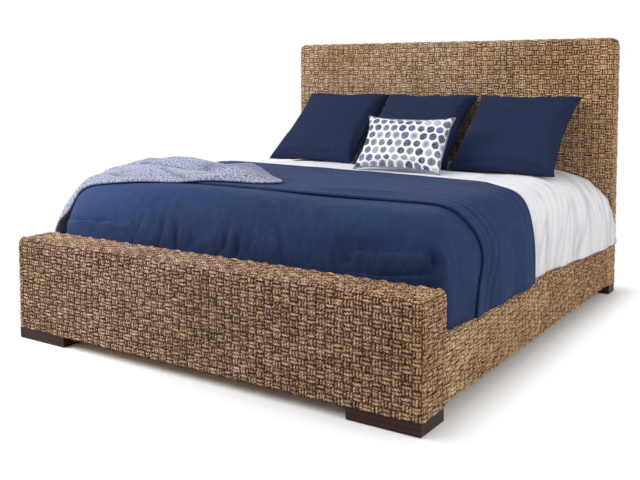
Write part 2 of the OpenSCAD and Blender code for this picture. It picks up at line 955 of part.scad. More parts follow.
module duvet() {
    color(navy) difference() {
        duvet_form();
        dome_solid(quilt_ys, duvet_clear, toe);
        mattress_space(duvet_clear);
        duvet_trim();
    }
}

// What is cut off the folded part so that its edge runs askew
module duvet_trim() {
    far = rail_x1 + 2 * quilt_bulge + fold_lift;
    translate([0, 0, soft_z0 - eps]) linear_extrude(2 * quilt_rise)
        polygon([[-far, duvet_edge(-far)], [far, duvet_edge(far)],
                 [far, duvet_y1 + edge_skew], [-far, duvet_y1 + edge_skew]]);
}

// The throw lies from the middle of the duvet (u = 0) over its left side (u = 1), bunched
// lengthwise; v runs from its edge near the foot to its edge near the head
function side_angle(s) = sign(s) * asin(pow(abs(s), side_power(0) / 2));
function top_angle(u) = side_angle(throw_tip - (throw_tip + throw_flat) * u / throw_turn);
function hang_angle(u) = side_angle(-throw_flat) -
    (throw_drop + side_angle(-throw_flat)) * (u - throw_turn) / (1 - throw_turn);
function throw_angle(u) = u < throw_turn ? top_angle(u) : hang_angle(u);
function throw_low(u) = throw_low_tip + (throw_low_side - throw_low_tip) * ease(1.25 * u);
function throw_high(u) = throw_high_tip + (throw_high_side - throw_high_tip) * ease(2.2 * u);
function throw_y(u, v) = foot_y1 + throw_low(u) + (throw_high(u) - throw_low(u)) * v;
function throw_base(y) = duvet_t + fold_t * ease((y - fold_y + 90) / 80) + throw_clear;
function throw_ridge(u, v) = throw_fold * pow(sin(180 * v), 0.7) *
    (0.5 + 0.5 * sin(ridge_turns * v + ridge_skew * u)) * (1 - 0.9 * ease(2.2 * (u - 0.5)));
function throw_point(u, v, g) = let (y = throw_y(u, v))
    dome(y, throw_angle(u), throw_base(y) + g + throw_ridge(u, v));

module throw() {
    layer = function(g) [for (i = [0 : throw_steps]) [for (j = [0 : throw_rows])
        throw_point(i / throw_steps, j / throw_rows, g)]];
    color(knit) difference() {
        shell(layer(throw_t), layer(0));
        duvet_form(soft_clear);
    }
}

// ---- pillows -------------------------------------------------------------------------

// A pillow lying flat, crowned on both faces, with sides drawn in between pointed corners
module pillow(w, h, t) {
    grid = [for (i = [0 : pillow_steps]) sin(90 * (2 * i / pillow_steps - 1))];
    swell = function(u, v) t / 2 *
        (pillow_rim + (1 - pillow_rim) * pow((1 - u * u) * (1 - v * v), pillow_fullness));
    layer = function(s) [for (v = grid) [for (u = grid)
        [w / 2 * u * (1 - draw_in * (1 - v * v)), h / 2 * (1 + v * (1 - draw_in * (1 - u * u))),
         s * swell(u, v)]]];
    shell(layer(-1), layer(1));
}

// Stands a pillow on its lower edge at x and y, leaning back from upright. Its back swells a
// little below that edge, so it is lifted by dip to lie on the quilt
module leaning(x, y, lean, turn, dip) {
    translate([x, y, pillow_seat + dip]) rotate([0, 0, turn]) rotate([90 - lean, 0, 0])
        children();
}

module large_pillow(x, back, turn, dip) {
    color(navy) leaning(x, head_y0 - pillow_reach - back, pillow_lean, turn, dip)
        pillow(pillow_w, pillow_h, pillow_t);
}

module pillow_left() {
    large_pillow(left_x, left_back, side_turn, left_dip);
}

module pillow_centre() {
    large_pillow(centre_x, centre_back, centre_turn, centre_dip);
}

module pillow_right() {
    large_pillow(right_x, right_back, side_turn, right_dip);
}

module dotted_cushion() {
    color(dots) leaning(cushion_x, cushion_y, cushion_lean, 0, cushion_dip)
        pillow(cushion_w, cushion_h, cushion_t);
}

// ---- assembly ------------------------------------------------------------------------

footboard_weave();
footboard_panels();
footboard_rails();
footboard_posts();
footboard_studs();
headboard_weave();
headboard_panels();
headboard_rails();
headboard_posts();
headboard_studs();
side_rail_left();
side_rail_right();
side_weave_left();
side_weave_right();
mounting_blocks();
slot_plates();
hook_plates();
plate_screws();
ledger_left();
ledger_right();
ledger_screws();
centre_beam();
beam_saddles();
saddle_screws();
for (i = [0 : slat_count - 1]) slat(i);
slat_screws();
centre_legs();
leg_inserts();
leveller_foot();
leveller_middle();
leveller_head();
foot_block_front_left();
foot_block_front_right();
foot_block_rear_left();
foot_block_rear_right();
foot_pads();
foot_block_screws();
box_spring_left();
box_spring_right();
mattress();
quilt();
duvet();
throw();
pillow_left();
pillow_centre();
pillow_right();
dotted_cushion();
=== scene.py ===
import math
import bmesh
import bpy
import numpy as np
from mathutils import Euler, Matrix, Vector, noise


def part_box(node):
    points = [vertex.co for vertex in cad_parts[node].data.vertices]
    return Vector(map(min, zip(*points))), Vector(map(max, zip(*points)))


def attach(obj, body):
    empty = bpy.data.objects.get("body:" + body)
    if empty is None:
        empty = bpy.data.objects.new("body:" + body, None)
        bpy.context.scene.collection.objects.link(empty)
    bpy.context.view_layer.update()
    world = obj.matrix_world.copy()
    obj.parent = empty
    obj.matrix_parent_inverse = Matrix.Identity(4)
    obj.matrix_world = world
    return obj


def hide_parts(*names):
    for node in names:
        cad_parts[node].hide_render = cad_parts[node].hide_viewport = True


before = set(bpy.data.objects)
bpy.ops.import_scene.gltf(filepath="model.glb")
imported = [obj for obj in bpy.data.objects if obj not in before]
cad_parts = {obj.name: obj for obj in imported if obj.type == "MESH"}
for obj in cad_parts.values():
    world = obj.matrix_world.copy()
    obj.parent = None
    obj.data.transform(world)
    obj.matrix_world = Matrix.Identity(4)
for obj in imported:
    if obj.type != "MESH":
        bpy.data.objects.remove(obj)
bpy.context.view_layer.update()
print("frame loaded:", len(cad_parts), "nodes")


def paint(red, green, blue):  # a colour as it is seen, 0 to 255, made linear
    return tuple((c / 255 / 12.92) if c <= 10 else ((c / 255 + 0.055) / 1.055) ** 2.4
                 for c in (red, green, blue)) + (1,)


# What comes out of a node, so that shader maths reads as plain maths
class Value:
    def __init__(self, nodes, socket):
        self.nodes, self.socket = nodes, socket

    def maths(self, operation, first, second=0.0):
        return self.nodes.node("ShaderNodeMath", dict(operation=operation),
                               {0: first, 1: second})

    def __add__(self, other):
        return self.maths("ADD", self, other)

    def __sub__(self, other):
        return self.maths("SUBTRACT", self, other)

    def __rsub__(self, other):
        return self.maths("SUBTRACT", other, self)

    def __mul__(self, other):
        return self.maths("MULTIPLY", self, other)

    def __truediv__(self, other):
        return self.maths("DIVIDE", self, other)

    def __pow__(self, other):
        return self.maths("POWER", self, other)

    __radd__, __rmul__ = __add__, __mul__

    def sine(self):
        return self.maths("SINE", self)

    def size(self):
        return self.maths("ABSOLUTE", self)

    def floor(self):
        return self.maths("FLOOR", self)

    def above(self, other):  # the larger of the two
        return self.maths("MAXIMUM", self, other)

    def between(self, low, high):  # 0 below low, 1 above high
        return self.nodes.node("ShaderNodeMapRange", dict(interpolation_type="SMOOTHSTEP"),
                               {0: self, 1: low, 2: high})

    def other(self, out):  # another output of the same node
        return Value(self.nodes, self.socket.node.outputs[out])


class Nodes:
    def __init__(self, tree):
        self.tree = tree

    def node(self, kind, settings, sockets, out=0):
        made = self.tree.nodes.new(kind)
        for key, value in settings.items():
            if key == "stops":
                stops = made.color_ramp.elements
                stops.remove(stops[1])
                stops[0].position, stops[0].color = value[0]
                for place, colour in value[1:]:
                    stops.new(place).color = colour
            else:
                setattr(made, key, value)
        for key, value in sockets.items():
            if isinstance(value, Value):
                self.tree.links.new(value.socket, made.inputs[key])
            else:
                made.inputs[key].default_value = value
        return Value(self, made.outputs[out])

    def show(self, shader, output):
        self.tree.links.new(shader.socket, self.tree.nodes[output].inputs["Surface"])


class Finish(Nodes):
    def __init__(self, name, **constants):
        self.material = bpy.data.materials.new(name)
        self.material.use_nodes = True
        super().__init__(self.material.node_tree)
        self.shader = self.tree.nodes["Principled BSDF"]
        for key, value in constants.items():
            self.shader.inputs[key.replace("_", " ")].default_value = value
        self.place = self.node("ShaderNodeTexCoord", {}, {}, "Object")

    def parts(self, vector):
        made = self.node("ShaderNodeSeparateXYZ", {}, {0: vector})
        return [made.other(n) for n in range(3)]

    def joined(self, x, y, z):
        return self.node("ShaderNodeCombineXYZ", {}, {0: x, 1: y, 2: z})

    def stretched(self, vector, *scale):
        return self.node("ShaderNodeVectorMath", dict(operation="MULTIPLY"),
                         {0: vector, 1: scale})

    def attribute(self, name):
        return self.node("ShaderNodeAttribute", dict(attribute_name=name), {}, "Fac")

    def noise(self, scale, detail=2.0, vector=None, rough=0.5):
        return self.node("ShaderNodeTexNoise", {},
                         {"Vector": vector or self.place, "Scale": scale, "Detail": detail,
                          "Roughness": rough})

    def mix(self, factor, first, second, blend="MIX"):
        return self.node("ShaderNodeMix", dict(data_type="RGBA", blend_type=blend),
                         {0: factor, 6: first, 7: second}, 2)

    def feed(self, **sockets):
        for key, value in sockets.items():
            self.tree.links.new(value.socket, self.shader.inputs[key.replace("_", " ")])
        return self

    def bump(self, height, strength, distance):
        return self.feed(Normal=self.node("ShaderNodeBump", {}, {
            "Height": height, "Strength": strength, "Distance": distance}))


photoView = dict(place=(2.3199, -3.7723, 1.2171), tilt=-0.0701, turn=0.5819, lens=48.84,
                 shiftY=-0.1607)
studio = dict(keyPower=110, leftPower=98, sidePower=104, topPower=42, backPower=50,
              skyLight=0.45, floorShade=0.62, floorSeen=0.98, fadeFrom=0.0, fadeTo=0.165)


def makeCamera():
    view = bpy.data.cameras.new("photoCamera")
    view.lens, view.shift_y = photoView["lens"], photoView["shiftY"]
    camera = bpy.data.objects.new("photoCamera", view)
    camera.location = photoView["place"]
    camera.rotation_euler = Euler((math.pi / 2 + photoView["tilt"], 0, photoView["turn"]))
    bpy.context.collection.objects.link(camera)
    bpy.context.scene.camera = camera


def softLight(name, power, size, place, target=(0, 0, 0.4), colour=(1, 1, 1)):
    lamp = bpy.data.lights.new(name, "AREA")
    lamp.energy, lamp.size, lamp.color = power, size, colour
    holder = bpy.data.objects.new(name, lamp)
    holder.location = place
    holder.rotation_euler = (Vector(target) - Vector(place)).to_track_quat("-Z", "Y").to_euler()
    bpy.context.collection.objects.link(holder)


def makeStudio():
    softLight("keyLight", studio["keyPower"], 2.2, (-3.4, -5.2, 4.4), (0, 0, 0.6))
    softLight("leftLight", studio["leftPower"], 1.6, (-2.9, -2.2, 2.2), (-0.5, -0.9, 0.5))
    softLight("sideLight", studio["sidePower"], 3.5, (4.8, -0.6, 2.4), colour=(1, 0.965, 0.90))
    softLight("topLight", studio["topPower"], 3.5, (0, -0.7, 4.2), (0, 0.2, 0.6))
    softLight("backLight", studio["backPower"], 4.0, (0, 5.0, 3.0))
    world = bpy.data.worlds.new("studioWorld")
    bpy.context.scene.world = world
    world.use_nodes = True
    sky = Nodes(world.node_tree)
    seen = sky.node("ShaderNodeLightPath", {}, {}, "Is Camera Ray")
    direct = seen.above(seen.other("Is Glossy Ray")).above(seen.other("Is Transmission Ray"))
    soft = sky.node("ShaderNodeBackground", {}, {"Strength": studio["skyLight"],
                                                 "Color": (0.95, 0.97, 1.0, 1)})
    white = sky.node("ShaderNodeBackground", {}, {"Strength": 1.0, "Color": (1, 1, 1, 1)})
    sky.show(sky.node("ShaderNodeMixShader", {}, {0: direct, 1: soft, 2: white}),
             "World Output")
    bpy.context.scene.view_settings.view_transform = "Standard"


makeCamera()
makeStudio()
print("camera and light set")


# gap is the colour of painted shade where the ropes dive, and pale the colour of painted highlight
# on their crowns
ropeColours = dict(gap=paint(73, 40, 25), bark=paint(112, 75, 51), tan=paint(178, 139, 106),
                   straw=paint(230, 197, 158), pale=paint(254, 228, 196),
                   green=paint(196, 190, 138), rose=paint(212, 190, 204),
                   ochre=paint(255, 240, 212))


# what the rope's colour follows, and how strongly; the crown, ridge and strand amounts are painted
# shade and highlight, the two side amounts painted light and shade on the right-hand rail, and
# headCalm tones the painted shade down at the head
ropeLook = dict(twist=480, slant=2.4, crown=0.44, ridge=0.16, strand=0.26, fibres=0.75,
                speck=0.75, tone=0.26, start=0.048, headCalm=0.30, sideFootLight=0.07, sideHeadShade=0.17)


def ropeFinish():
    look, colours = ropeLook, ropeColours
    rope = Finish("twistedRope", Roughness=0.8)
    reach, around = rope.attribute("along"), rope.attribute("around")
    tone, relief, tint = (rope.attribute(n) for n in ("tone", "relief", "tint"))
    jitter = rope.noise(70, 2)
    # strands lie round the rope at a slant; in the colour their stripes are painted shade in the
    # grooves between strands
    turns = reach * look["twist"] + around * look["slant"] + jitter * 4.5 + tone * 6.28
    strand = (turns.sine() * 0.5 + 0.5) ** 0.8
    fibres = rope.noise(1.0, 3, rope.joined(turns * 2.2, around * 1.5, reach * 30 + tone * 40))
    speck = rope.noise(190, 2)
    # painted shade where the rope dives under its neighbours, and painted highlight along its crown
    # and crest
    crown, ridge = relief.between(-0.88, -0.03), relief.between(-0.22, 0.0)
    # each piece's own amount is painted light, its rope lighter or darker as the light falls on
    # that board or rail; fibres, specks and tone are the rope's own colour
    shown = crown * look["crown"] + ridge * look["ridge"] + strand * look["strand"] \
        + (fibres - 0.5) * look["fibres"] + (speck - 0.5) * look["speck"] \
        + (tone - 0.5) * look["tone"] + tint + look["start"]
    across, along = rope.parts(rope.place)[:2]
    # painted shade and highlight toned down on the headboard, and on the right-hand rail painted
    # light at its foot end that turns to painted shade towards its head
    shown = shown + (0.56 - shown) * along.between(0.9, 1.1) * look["headCalm"]
    side = across.between(0.96, 1.04) * (1 - along.between(1.02, 1.08))
    shown = shown + side * (look["sideFootLight"] - along.between(-1.2, 1.0) * look["sideHeadShade"])
    base = rope.node("ShaderNodeValToRGB", dict(stops=[
        (0.14, colours["gap"]), (0.34, colours["bark"]), (0.51, colours["tan"]),
        (0.68, colours["straw"]), (0.86, colours["pale"])]), {"Fac": shown})
    patch = rope.noise(2.6, 1)
    patchTwo = rope.noise(3.4, 1, rope.stretched(rope.place, 1, 1.2, 1.7))
    for amount, colour in ((patch.between(0.48, 0.68) * 0.34, "green"),
                           (patchTwo.between(0.5, 0.7) * 0.3 + (0.04 - tint) * 5, "rose"),
                           (across.between(0.0, 1.1) * 0.6, "ochre")):
        base = rope.mix(amount, base, colours[colour], "MULTIPLY")
    rope.feed(Base_Color=base)
    return rope.bump(strand * 0.9 + fibres * 0.7 + speck * 0.4, 1.0, 0.006).material


def woodFinish(name, light, dark, roughness, shine=0.5, grain=1.0):
    wood = Finish(name, Roughness=roughness, Specular_IOR_Level=shine)
    drawn = wood.noise(14, 4, wood.stretched(wood.place, 0.6, 6, 6), 0.6)
    fine = wood.noise(90, 3, wood.stretched(wood.place, 0.3, 4, 4))
    rings = wood.node("ShaderNodeTexWave", dict(wave_type="BANDS", bands_direction="Z"),
                      {"Vector": wood.stretched(wood.place, 0.25, 1.6, 1), "Scale": 14,
                       "Distortion": 5, "Detail": 2}, "Fac")
    streak = drawn * 0.5 + rings * 0.25 + fine * 0.25
    wood.feed(Base_Color=wood.mix(streak.between(0.25, 0.75), dark, light),
              Roughness=roughness + fine * 0.18 - 0.09)
    return wood.bump(streak + fine * 0.6, 0.25 * grain, 0.0012).material


def steelFinish():
    steel = Finish("zincSteel", Metallic=1.0)
    spangle = steel.node("ShaderNodeTexVoronoi", {}, {"Vector": steel.place, "Scale": 160},
                         "Color")
    shade = steel.noise(240, 2)
    steel.feed(Base_Color=steel.mix(shade * 0.5, paint(178, 181, 186), paint(205, 207, 209)),
               Roughness=steel.parts(spangle)[0] * 0.14 + shade * 0.12 + 0.24)
    return steel.bump(shade, 0.12, 0.0004).material


def feltFinish():
    felt = Finish("pressedFelt", Roughness=0.95, Sheen_Weight=0.3)
    fuzz = felt.noise(900, 3)
    felt.feed(Base_Color=felt.mix(fuzz, paint(58, 52, 48), paint(92, 84, 78)))
    return felt.bump(fuzz, 0.6, 0.0008).material


# painted shade: the dark sheet seen through the gaps of the weave
def shadeSheetFinish():
    shadeSheet = Finish("weaveBacking", Roughness=0.9)
    fleck = shadeSheet.noise(160, 3)
    shadeSheet.feed(Base_Color=shadeSheet.mix(fleck, paint(40, 26, 18), paint(92, 66, 46)))
    return shadeSheet.bump(fleck, 0.5, 0.002).material


ropeCover, paintedShadeSheet = ropeFinish(), shadeSheetFinish()
pineBoard = woodFinish("framePine", paint(214, 180, 132), paint(182, 142, 94), 0.6)
stainedBlock = woodFinish("stainedBlock", paint(58, 31, 20), paint(29, 14, 9), 0.5, 0.22)
zincSteel, pressedFelt = steelFinish(), feltFinish()


def dress(material, *nodes):
    for name in nodes:
        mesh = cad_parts[name].data
        mesh.materials.clear()
        mesh.materials.append(material)


slats = ["slat_%02d" % n for n in range(1, 13)]
dress(pineBoard, "footboard_panels", "footboard_rails", "footboard_posts", "footboard_studs",
      "headboard_panels", "headboard_rails", "headboard_posts", "headboard_studs",
      "side_rail_left", "side_rail_right", "mounting_blocks", "ledger_left", "ledger_right",
      "centre_beam", "centre_legs", *slats)
dress(zincSteel, "slot_plates", "hook_plates", "plate_screws", "ledger_screws", "beam_saddles",
      "saddle_screws", "slat_screws", "leg_inserts", "leveller_foot", "leveller_middle",
      "leveller_head", "foot_block_screws")
dress(stainedBlock, "foot_block_front_left", "foot_block_front_right", "foot_block_rear_left",
      "foot_block_rear_right")
dress(pressedFelt, "foot_pads")
print("frame finishes made")


def addPiece(name, mesh, body, material, replaced=(), smooth=True):
    piece = bpy.data.objects.new(name, mesh)
    bpy.context.collection.objects.link(piece)
    mesh.materials.clear()
    mesh.materials.append(material)
    mesh.polygons.foreach_set("use_smooth", [smooth] * len(mesh.polygons))
    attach(piece, body)
    if replaced:
        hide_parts(*replaced)
    return piece


def meshFrom(bm, name):
    mesh = bpy.data.meshes.new(name)
    bm.to_mesh(mesh)
    bm.free()
    return mesh


def places(mesh):
    flat = np.empty(len(mesh.vertices) * 3, np.float32)
    mesh.vertices.foreach_get("co", flat)
    return flat.reshape(-1, 3).astype(float)


def setPlaces(mesh, points):
    mesh.vertices.foreach_set("co", np.asarray(points, np.float32).ravel())
    mesh.update()


def setAttribute(mesh, name, values):
    mesh.attributes.new(name, "FLOAT", "POINT").data.foreach_set(
        "value", np.asarray(values, np.float32))


weave = dict(crossRope=0.0, uprightRope=-0.0022, dive=0.0085, divePower=2.2, halfTurn=98,
             spill=0.22, uprightSpill=0.28, wander=0.0011, lean=3.4, swell=0.05, lift=0.0007)
ropeGrid = 4  # faces along and across each length of rope


# One visible length of rope between two crossings: half a tube that dives at both ends
def ropeLength(bm, across, length, centre, upright, crest):
    made = bmesh.ops.create_grid(bm, x_segments=ropeGrid, y_segments=ropeGrid,
                                 size=1.0)["verts"]
    flat = [tuple(v.co) for v in made]
    rim = [e for e in {e for v in made for e in v.link_edges} if e.is_boundary]
    for v in made:
        along, swing = v.co.x, math.radians(weave["halfTurn"] * v.co.y)
        height = crest - weave["dive"] * abs(along) ** weave["divePower"]
        side = across * math.sin(swing) * (1 - 0.16 * abs(along) ** 3)  # slimmer at its ends
        place = (along * length, side, height + across * (math.cos(swing) - 1))
        if upright:
            place = (-place[1], place[0], place[2])
        v.co = Vector(place) + Vector((*centre, 0))
    bmesh.ops.contextual_create(bm, geom=rim)
    return flat


# How near the top a point of the rope lies: 0 on its crown
def ropeRelief(x, y):
    return -0.75 * abs(x) ** weave["divePower"] \
        + 0.8 * math.cos(math.radians(weave["halfTurn"] * y)) - 0.8


# A square of two by two cells: two ropes run across, three run upright
def weaveTile(cellW, cellH):
    bm, facts = bmesh.new(), []
    for i in range(2):
        for j in range(2):
            upright = (i + j) % 2
            count = 3 if upright else 2
            for k in range(count):
                off = (k + 0.5) / count - 0.5
                if upright:
                    half, length = cellW / 6, cellH * (0.5 + weave["uprightSpill"])
                    centre = ((i + 0.5 + off) * cellW, (j + 0.5) * cellH)
                    flat = ropeLength(bm, half, length, centre, True, weave["uprightRope"])
                else:
                    half, length = cellH / 4, cellW * (0.5 + weave["spill"])
                    centre = ((i + 0.5) * cellW, (j + 0.5 + off) * cellH)
                    flat = ropeLength(bm, half, length, centre, False, weave["crossRope"])
                facts += [(x * length, y * math.pi / 2, *centre, ropeRelief(x, y))
                          for x, y, z in flat]
    bmesh.ops.recalc_face_normals(bm, faces=bm.faces)
    return bm, np.array(facts)


# A flat weave of that many cells, its lengths nudged at random, then laid by wrap(u, v, h)
def wovenSheet(name, columns, rows, cellW, cellH, wrap, seed, tint, keep=None):
    bm, facts = weaveTile(cellW, cellH)
    tile = bpy.data.objects.new(name, meshFrom(bm, name))
    bpy.context.collection.objects.link(tile)
    across, up = (columns + 1) // 2, (rows + 1) // 2
    for axis, count, step in ((0, across, cellW * 2), (1, up, cellH * 2)):
        array = tile.modifiers.new("repeat", "ARRAY")
        array.count, array.use_relative_offset, array.use_constant_offset = count, False, True
        array.constant_offset_displace = [step if a == axis else 0 for a in range(3)]
    cloth = bpy.data.meshes.new_from_object(tile.evaluated_get(
        bpy.context.evaluated_depsgraph_get()))
    bpy.data.objects.remove(tile)
    points, copies = places(cloth), across * up
    shift = np.zeros((copies, len(facts), 2))
    shift[..., 0] = (np.arange(copies) % across)[:, None] * cellW * 2
    shift[..., 1] = (np.arange(copies) // across)[:, None] * cellH * 2
    along, around = (np.tile(facts[:, n], copies) for n in (0, 1))
    centre = np.tile(facts[:, 2:4], (copies, 1)) + shift.reshape(-1, 2)
    chance = np.random.default_rng(seed)
    each = (ropeGrid + 1) ** 2
    strands = len(points) // each
    moves = np.repeat(chance.normal(0, 1, (strands, 6)), each, axis=0)
    off = points[:, :2] - centre
    turn = np.radians(weave["lean"]) * moves[:, 0]
    off = np.stack([off[:, 0] - turn * off[:, 1], off[:, 1] + turn * off[:, 0]], 1)
    off *= 1 + weave["swell"] * moves[:, 1:2].clip(-2, 2)
    points[:, :2] = centre + off + weave["wander"] * moves[:, 2:4]
    points[:, 2] += np.clip(weave["lift"] * moves[:, 4], -0.0016, 0.0006)
    setAttribute(cloth, "along", along + 0.02 * moves[:, 5])
    setAttribute(cloth, "around", around)
    setAttribute(cloth, "tone", np.repeat(chance.random(strands), each))
    setAttribute(cloth, "relief", np.tile(facts[:, 4], copies))
    setAttribute(cloth, "tint", np.full(len(points), tint))
    inside = (centre[:, 0] < columns * cellW) & (centre[:, 1] < rows * cellH)
    if keep is not None:
        inside &= keep(centre[:, 0], centre[:, 1])
    setPlaces(cloth, wrap(points[:, 0], points[:, 1], points[:, 2]))
    bm = bmesh.new()
    bm.from_mesh(cloth)
    bm.verts.ensure_lookup_table()
    bmesh.ops.delete(bm, geom=[bm.verts[int(n)] for n in np.nonzero(~inside)[0]],
                     context="VERTS")
    bm.to_mesh(cloth)
    bm.free()
    return cloth


# Distance u round a rectangle with rounded corners, as places and outward directions
def roundPlan(u, halfX, halfY, radius):
    flatX, flatY, bend = 2 * (halfX - radius), 2 * (halfY - radius), radius * math.pi / 2
    u = np.mod(u + flatX / 2, 2 * (flatX + flatY) + 4 * bend)
    place, facing = np.zeros((len(u), 2)), np.zeros((len(u), 2))
    start, angle = 0.0, -math.pi / 2
    corner = np.array([-flatX / 2, -flatY / 2])
    for length in (flatX, flatY, flatX, flatY):
        forward = np.array([-math.sin(angle), math.cos(angle)])
        outward = np.array([math.cos(angle), math.sin(angle)])
        run = (u >= start) & (u < start + length)
        place[run] = corner + (u[run] - start)[:, None] * forward
        facing[run] = outward
        start += length
        corner = corner + length * forward
        run = (u >= start) & (u < start + bend)
        swing = angle + (u[run] - start) / radius
        place[run] = corner
        facing[run] = np.stack([np.cos(swing), np.sin(swing)], 1)
        start += bend
        angle += math.pi / 2
    return place, facing


# Rounds the upper corners of a board, seen from the front
def roundCorners(points, halfX, top, corner, edge):
    power = math.log(2) / math.log(corner / (corner - edge * (1 - math.sqrt(0.5))))
    p = np.maximum(np.abs(points[:, 0]) - (halfX - corner), 0)
    q = np.maximum(points[:, 2] - (top - corner), 0)
    far = np.maximum(np.hypot(p, q), 1e-9)
    pull = np.where((p > 0) & (q > 0), (p ** power + q ** power) ** (1 / power) / far, 1)
    points[:, 0] -= np.sign(points[:, 0]) * p * (1 - pull)
    points[:, 2] -= q * (1 - pull)
    return points


edgeRound = 0.026
# each board's painted light amount makes its rope lighter or darker as the light falls on it
boards = {
    "footboard": dict(y0=-1.220, y1=-1.010, top=0.475, corner=0.032, columns=118, rows=16,
                      lidRows=6, splits=2, seed=11, tint=-0.03),
    "headboard": dict(y0=1.090, y1=1.220, top=1.430, corner=0.050, columns=114, rows=51,
                      lidRows=3, splits=4, seed=23, tint=0.035),
}
boardHalf, boardBottom, lidColumns = 1.050, 0.050, 53
railGap = dict(fromX=0.985, top=0.240)  # where a rail's end covers the board
shadeSheet = dict(inset=0.0085, wall=0.004)


def wovenBoard(name, y0, y1, top, corner, columns, rows, lidRows, splits, seed, tint):
    halfY, midY = (y1 - y0) / 2, (y0 + y1) / 2
    around = 4 * (boardHalf + halfY) - (8 - 2 * math.pi) * edgeRound
    straight = top - boardBottom - edgeRound
    cellW, cellH = around / columns, (straight + edgeRound * math.pi / 2) / rows
    innerY = 1 if name == "footboard" else -1  # side that the rails meet

    def wrapSides(first):
        def wrap(u, v, h):
            place, facing = roundPlan(u + first * cellW - around / 2, boardHalf, halfY,
                                      edgeRound)
            rise = np.clip((v - straight) / edgeRound, 0, None)
            out = (edgeRound + h) * np.cos(rise)
            up = boardBottom + np.minimum(v, straight) + (edgeRound + h) * np.sin(rise)
            points = np.column_stack([place + facing * out[:, None], up])
            points[:, 1] += midY
            return roundCorners(points, boardHalf, top, corner, edgeRound)
        return wrap

    def clearOfRails(first):
        def keep(u, v):
            place, facing = roundPlan(u + first * cellW - around / 2, boardHalf, halfY,
                                      edgeRound)
            atRail = (facing[:, 1] * innerY > 0.9) & (np.abs(place[:, 0]) > railGap["fromX"])
            return ~(atRail & (v < railGap["top"]))
        return keep

    def wrapLid(u, v, h):
        points = np.column_stack([u - lidColumns * cellW / 2,
                                  v - (halfY - edgeRound) + midY, top + h])
        return roundCorners(points, boardHalf, top, corner, edgeRound)

    pieces = []
    for n in range(splits):
        first, last = (2 * round(columns / 2 * k / splits) for k in (n, n + 1))
        pieces.append((name + "Rope" + "ABCD"[n], wovenSheet(
            name + "Rope", last - first, rows, cellW, cellH, wrapSides(first), seed + n,
            tint, clearOfRails(first))))
    pieces.append((name + "RopeTop", wovenSheet(
        name + "Lid", lidColumns, lidRows, cellW, 2 * (halfY - edgeRound) / lidRows, wrapLid,
        seed + 9, tint)))
    for title, mesh in pieces:
        addPiece(title, mesh, "bed_frame", ropeCover, [name + "_weave"])
    inset = shadeSheet["inset"]
    shadeSheetShell(name + "Backing", (inset - boardHalf, y0 + inset, boardBottom + 0.002),
              (boardHalf - inset, y1 - inset, top - inset), lambda facing: facing.z < -0.5)


def boxBetween(low, high):
    bm = bmesh.new()
    bmesh.ops.create_cube(bm, size=1.0)
    for v in bm.verts:
        v.co = Vector(high[a] if v.co[a] > 0 else low[a] for a in range(3))
    bmesh.ops.recalc_face_normals(bm, faces=bm.faces)
    return bm


# A dark shell under the ropes, painted shade seen in the gaps between them, without the sides that
# face an open way
def shadeSheetShell(name, low, high, isOpen):
    bm = boxBetween(low, high)
    bmesh.ops.delete(bm, geom=[f for f in bm.faces if isOpen(f.normal)], context="FACES")
    bmesh.ops.bevel(bm, geom=[e for e in bm.edges if not e.is_boundary],
                    offset=edgeRound - shadeSheet["inset"], offset_type="OFFSET", affect="EDGES",
                    segments=4, profile=0.5, material=-1)
    bmesh.ops.solidify(bm, geom=bm.faces[:], thickness=shadeSheet["wall"])
    bmesh.ops.recalc_face_normals(bm, faces=bm.faces)
    addPiece(name, meshFrom(bm, name), "bed_frame", paintedShadeSheet)


# the rail's painted light amount makes its rope lighter as the light falls on it
sideRail = dict(inner=0.980, outer=1.050, y0=-1.010, y1=1.090, top=0.298, columns=54, rows=13,
                tint=0.045, tuck=0.017)


def wovenRail(side, sign, seed):
    r = sideRail
    flat, bend = r["outer"] - edgeRound - r["inner"], edgeRound * math.pi / 2
    upright = r["top"] - boardBottom - 2 * edgeRound
    y0, y1 = r["y0"] - r["tuck"], r["y1"] + r["tuck"]  # ends tucked into the boards' round edges
    cellW = (y1 - y0) / r["columns"]
    cellH = (2 * flat + 2 * bend + upright) / r["rows"]

    # v runs up the outer face, from the underside over the rounded edges to the top
    def wrap(u, v, h):
        under = np.clip((v - flat) / bend, 0, 1) * math.pi / 2
        over = np.clip((v - flat - bend - upright) / bend, 0, 1) * math.pi / 2
        swing = under + over - math.pi / 2
        x = r["outer"] - edgeRound + np.minimum(v - flat, 0) \
            - np.maximum(v - flat - 2 * bend - upright, 0)
        z = boardBottom + edgeRound + np.clip(v - flat - bend, 0, upright)
        return np.column_stack([sign * (x + (edgeRound + h) * np.cos(swing)),
                                y0 + u if sign > 0 else y1 - u,
                                z + (edgeRound + h) * np.sin(swing)])

    mesh = wovenSheet("railRope", r["columns"], r["rows"], cellW, cellH, wrap, seed, r["tint"])
    addPiece(side + "RailRope", mesh, "bed_frame", ropeCover,
             ["side_weave_" + side])
    inset = shadeSheet["inset"]
    shadeSheetShell(side + "RailBacking",
              (sign * (r["inner"] + 0.001), r["y0"], boardBottom + inset),
              (sign * (r["outer"] - inset), r["y1"], r["top"] - inset),
              lambda facing: facing.x * sign < -0.5 or abs(facing.y) > 0.5)


for boardName, boardFacts in boards.items():
    wovenBoard(boardName, **boardFacts)
wovenRail("right", 1, 41)
wovenRail("left", -1, 42)
print("rope woven")
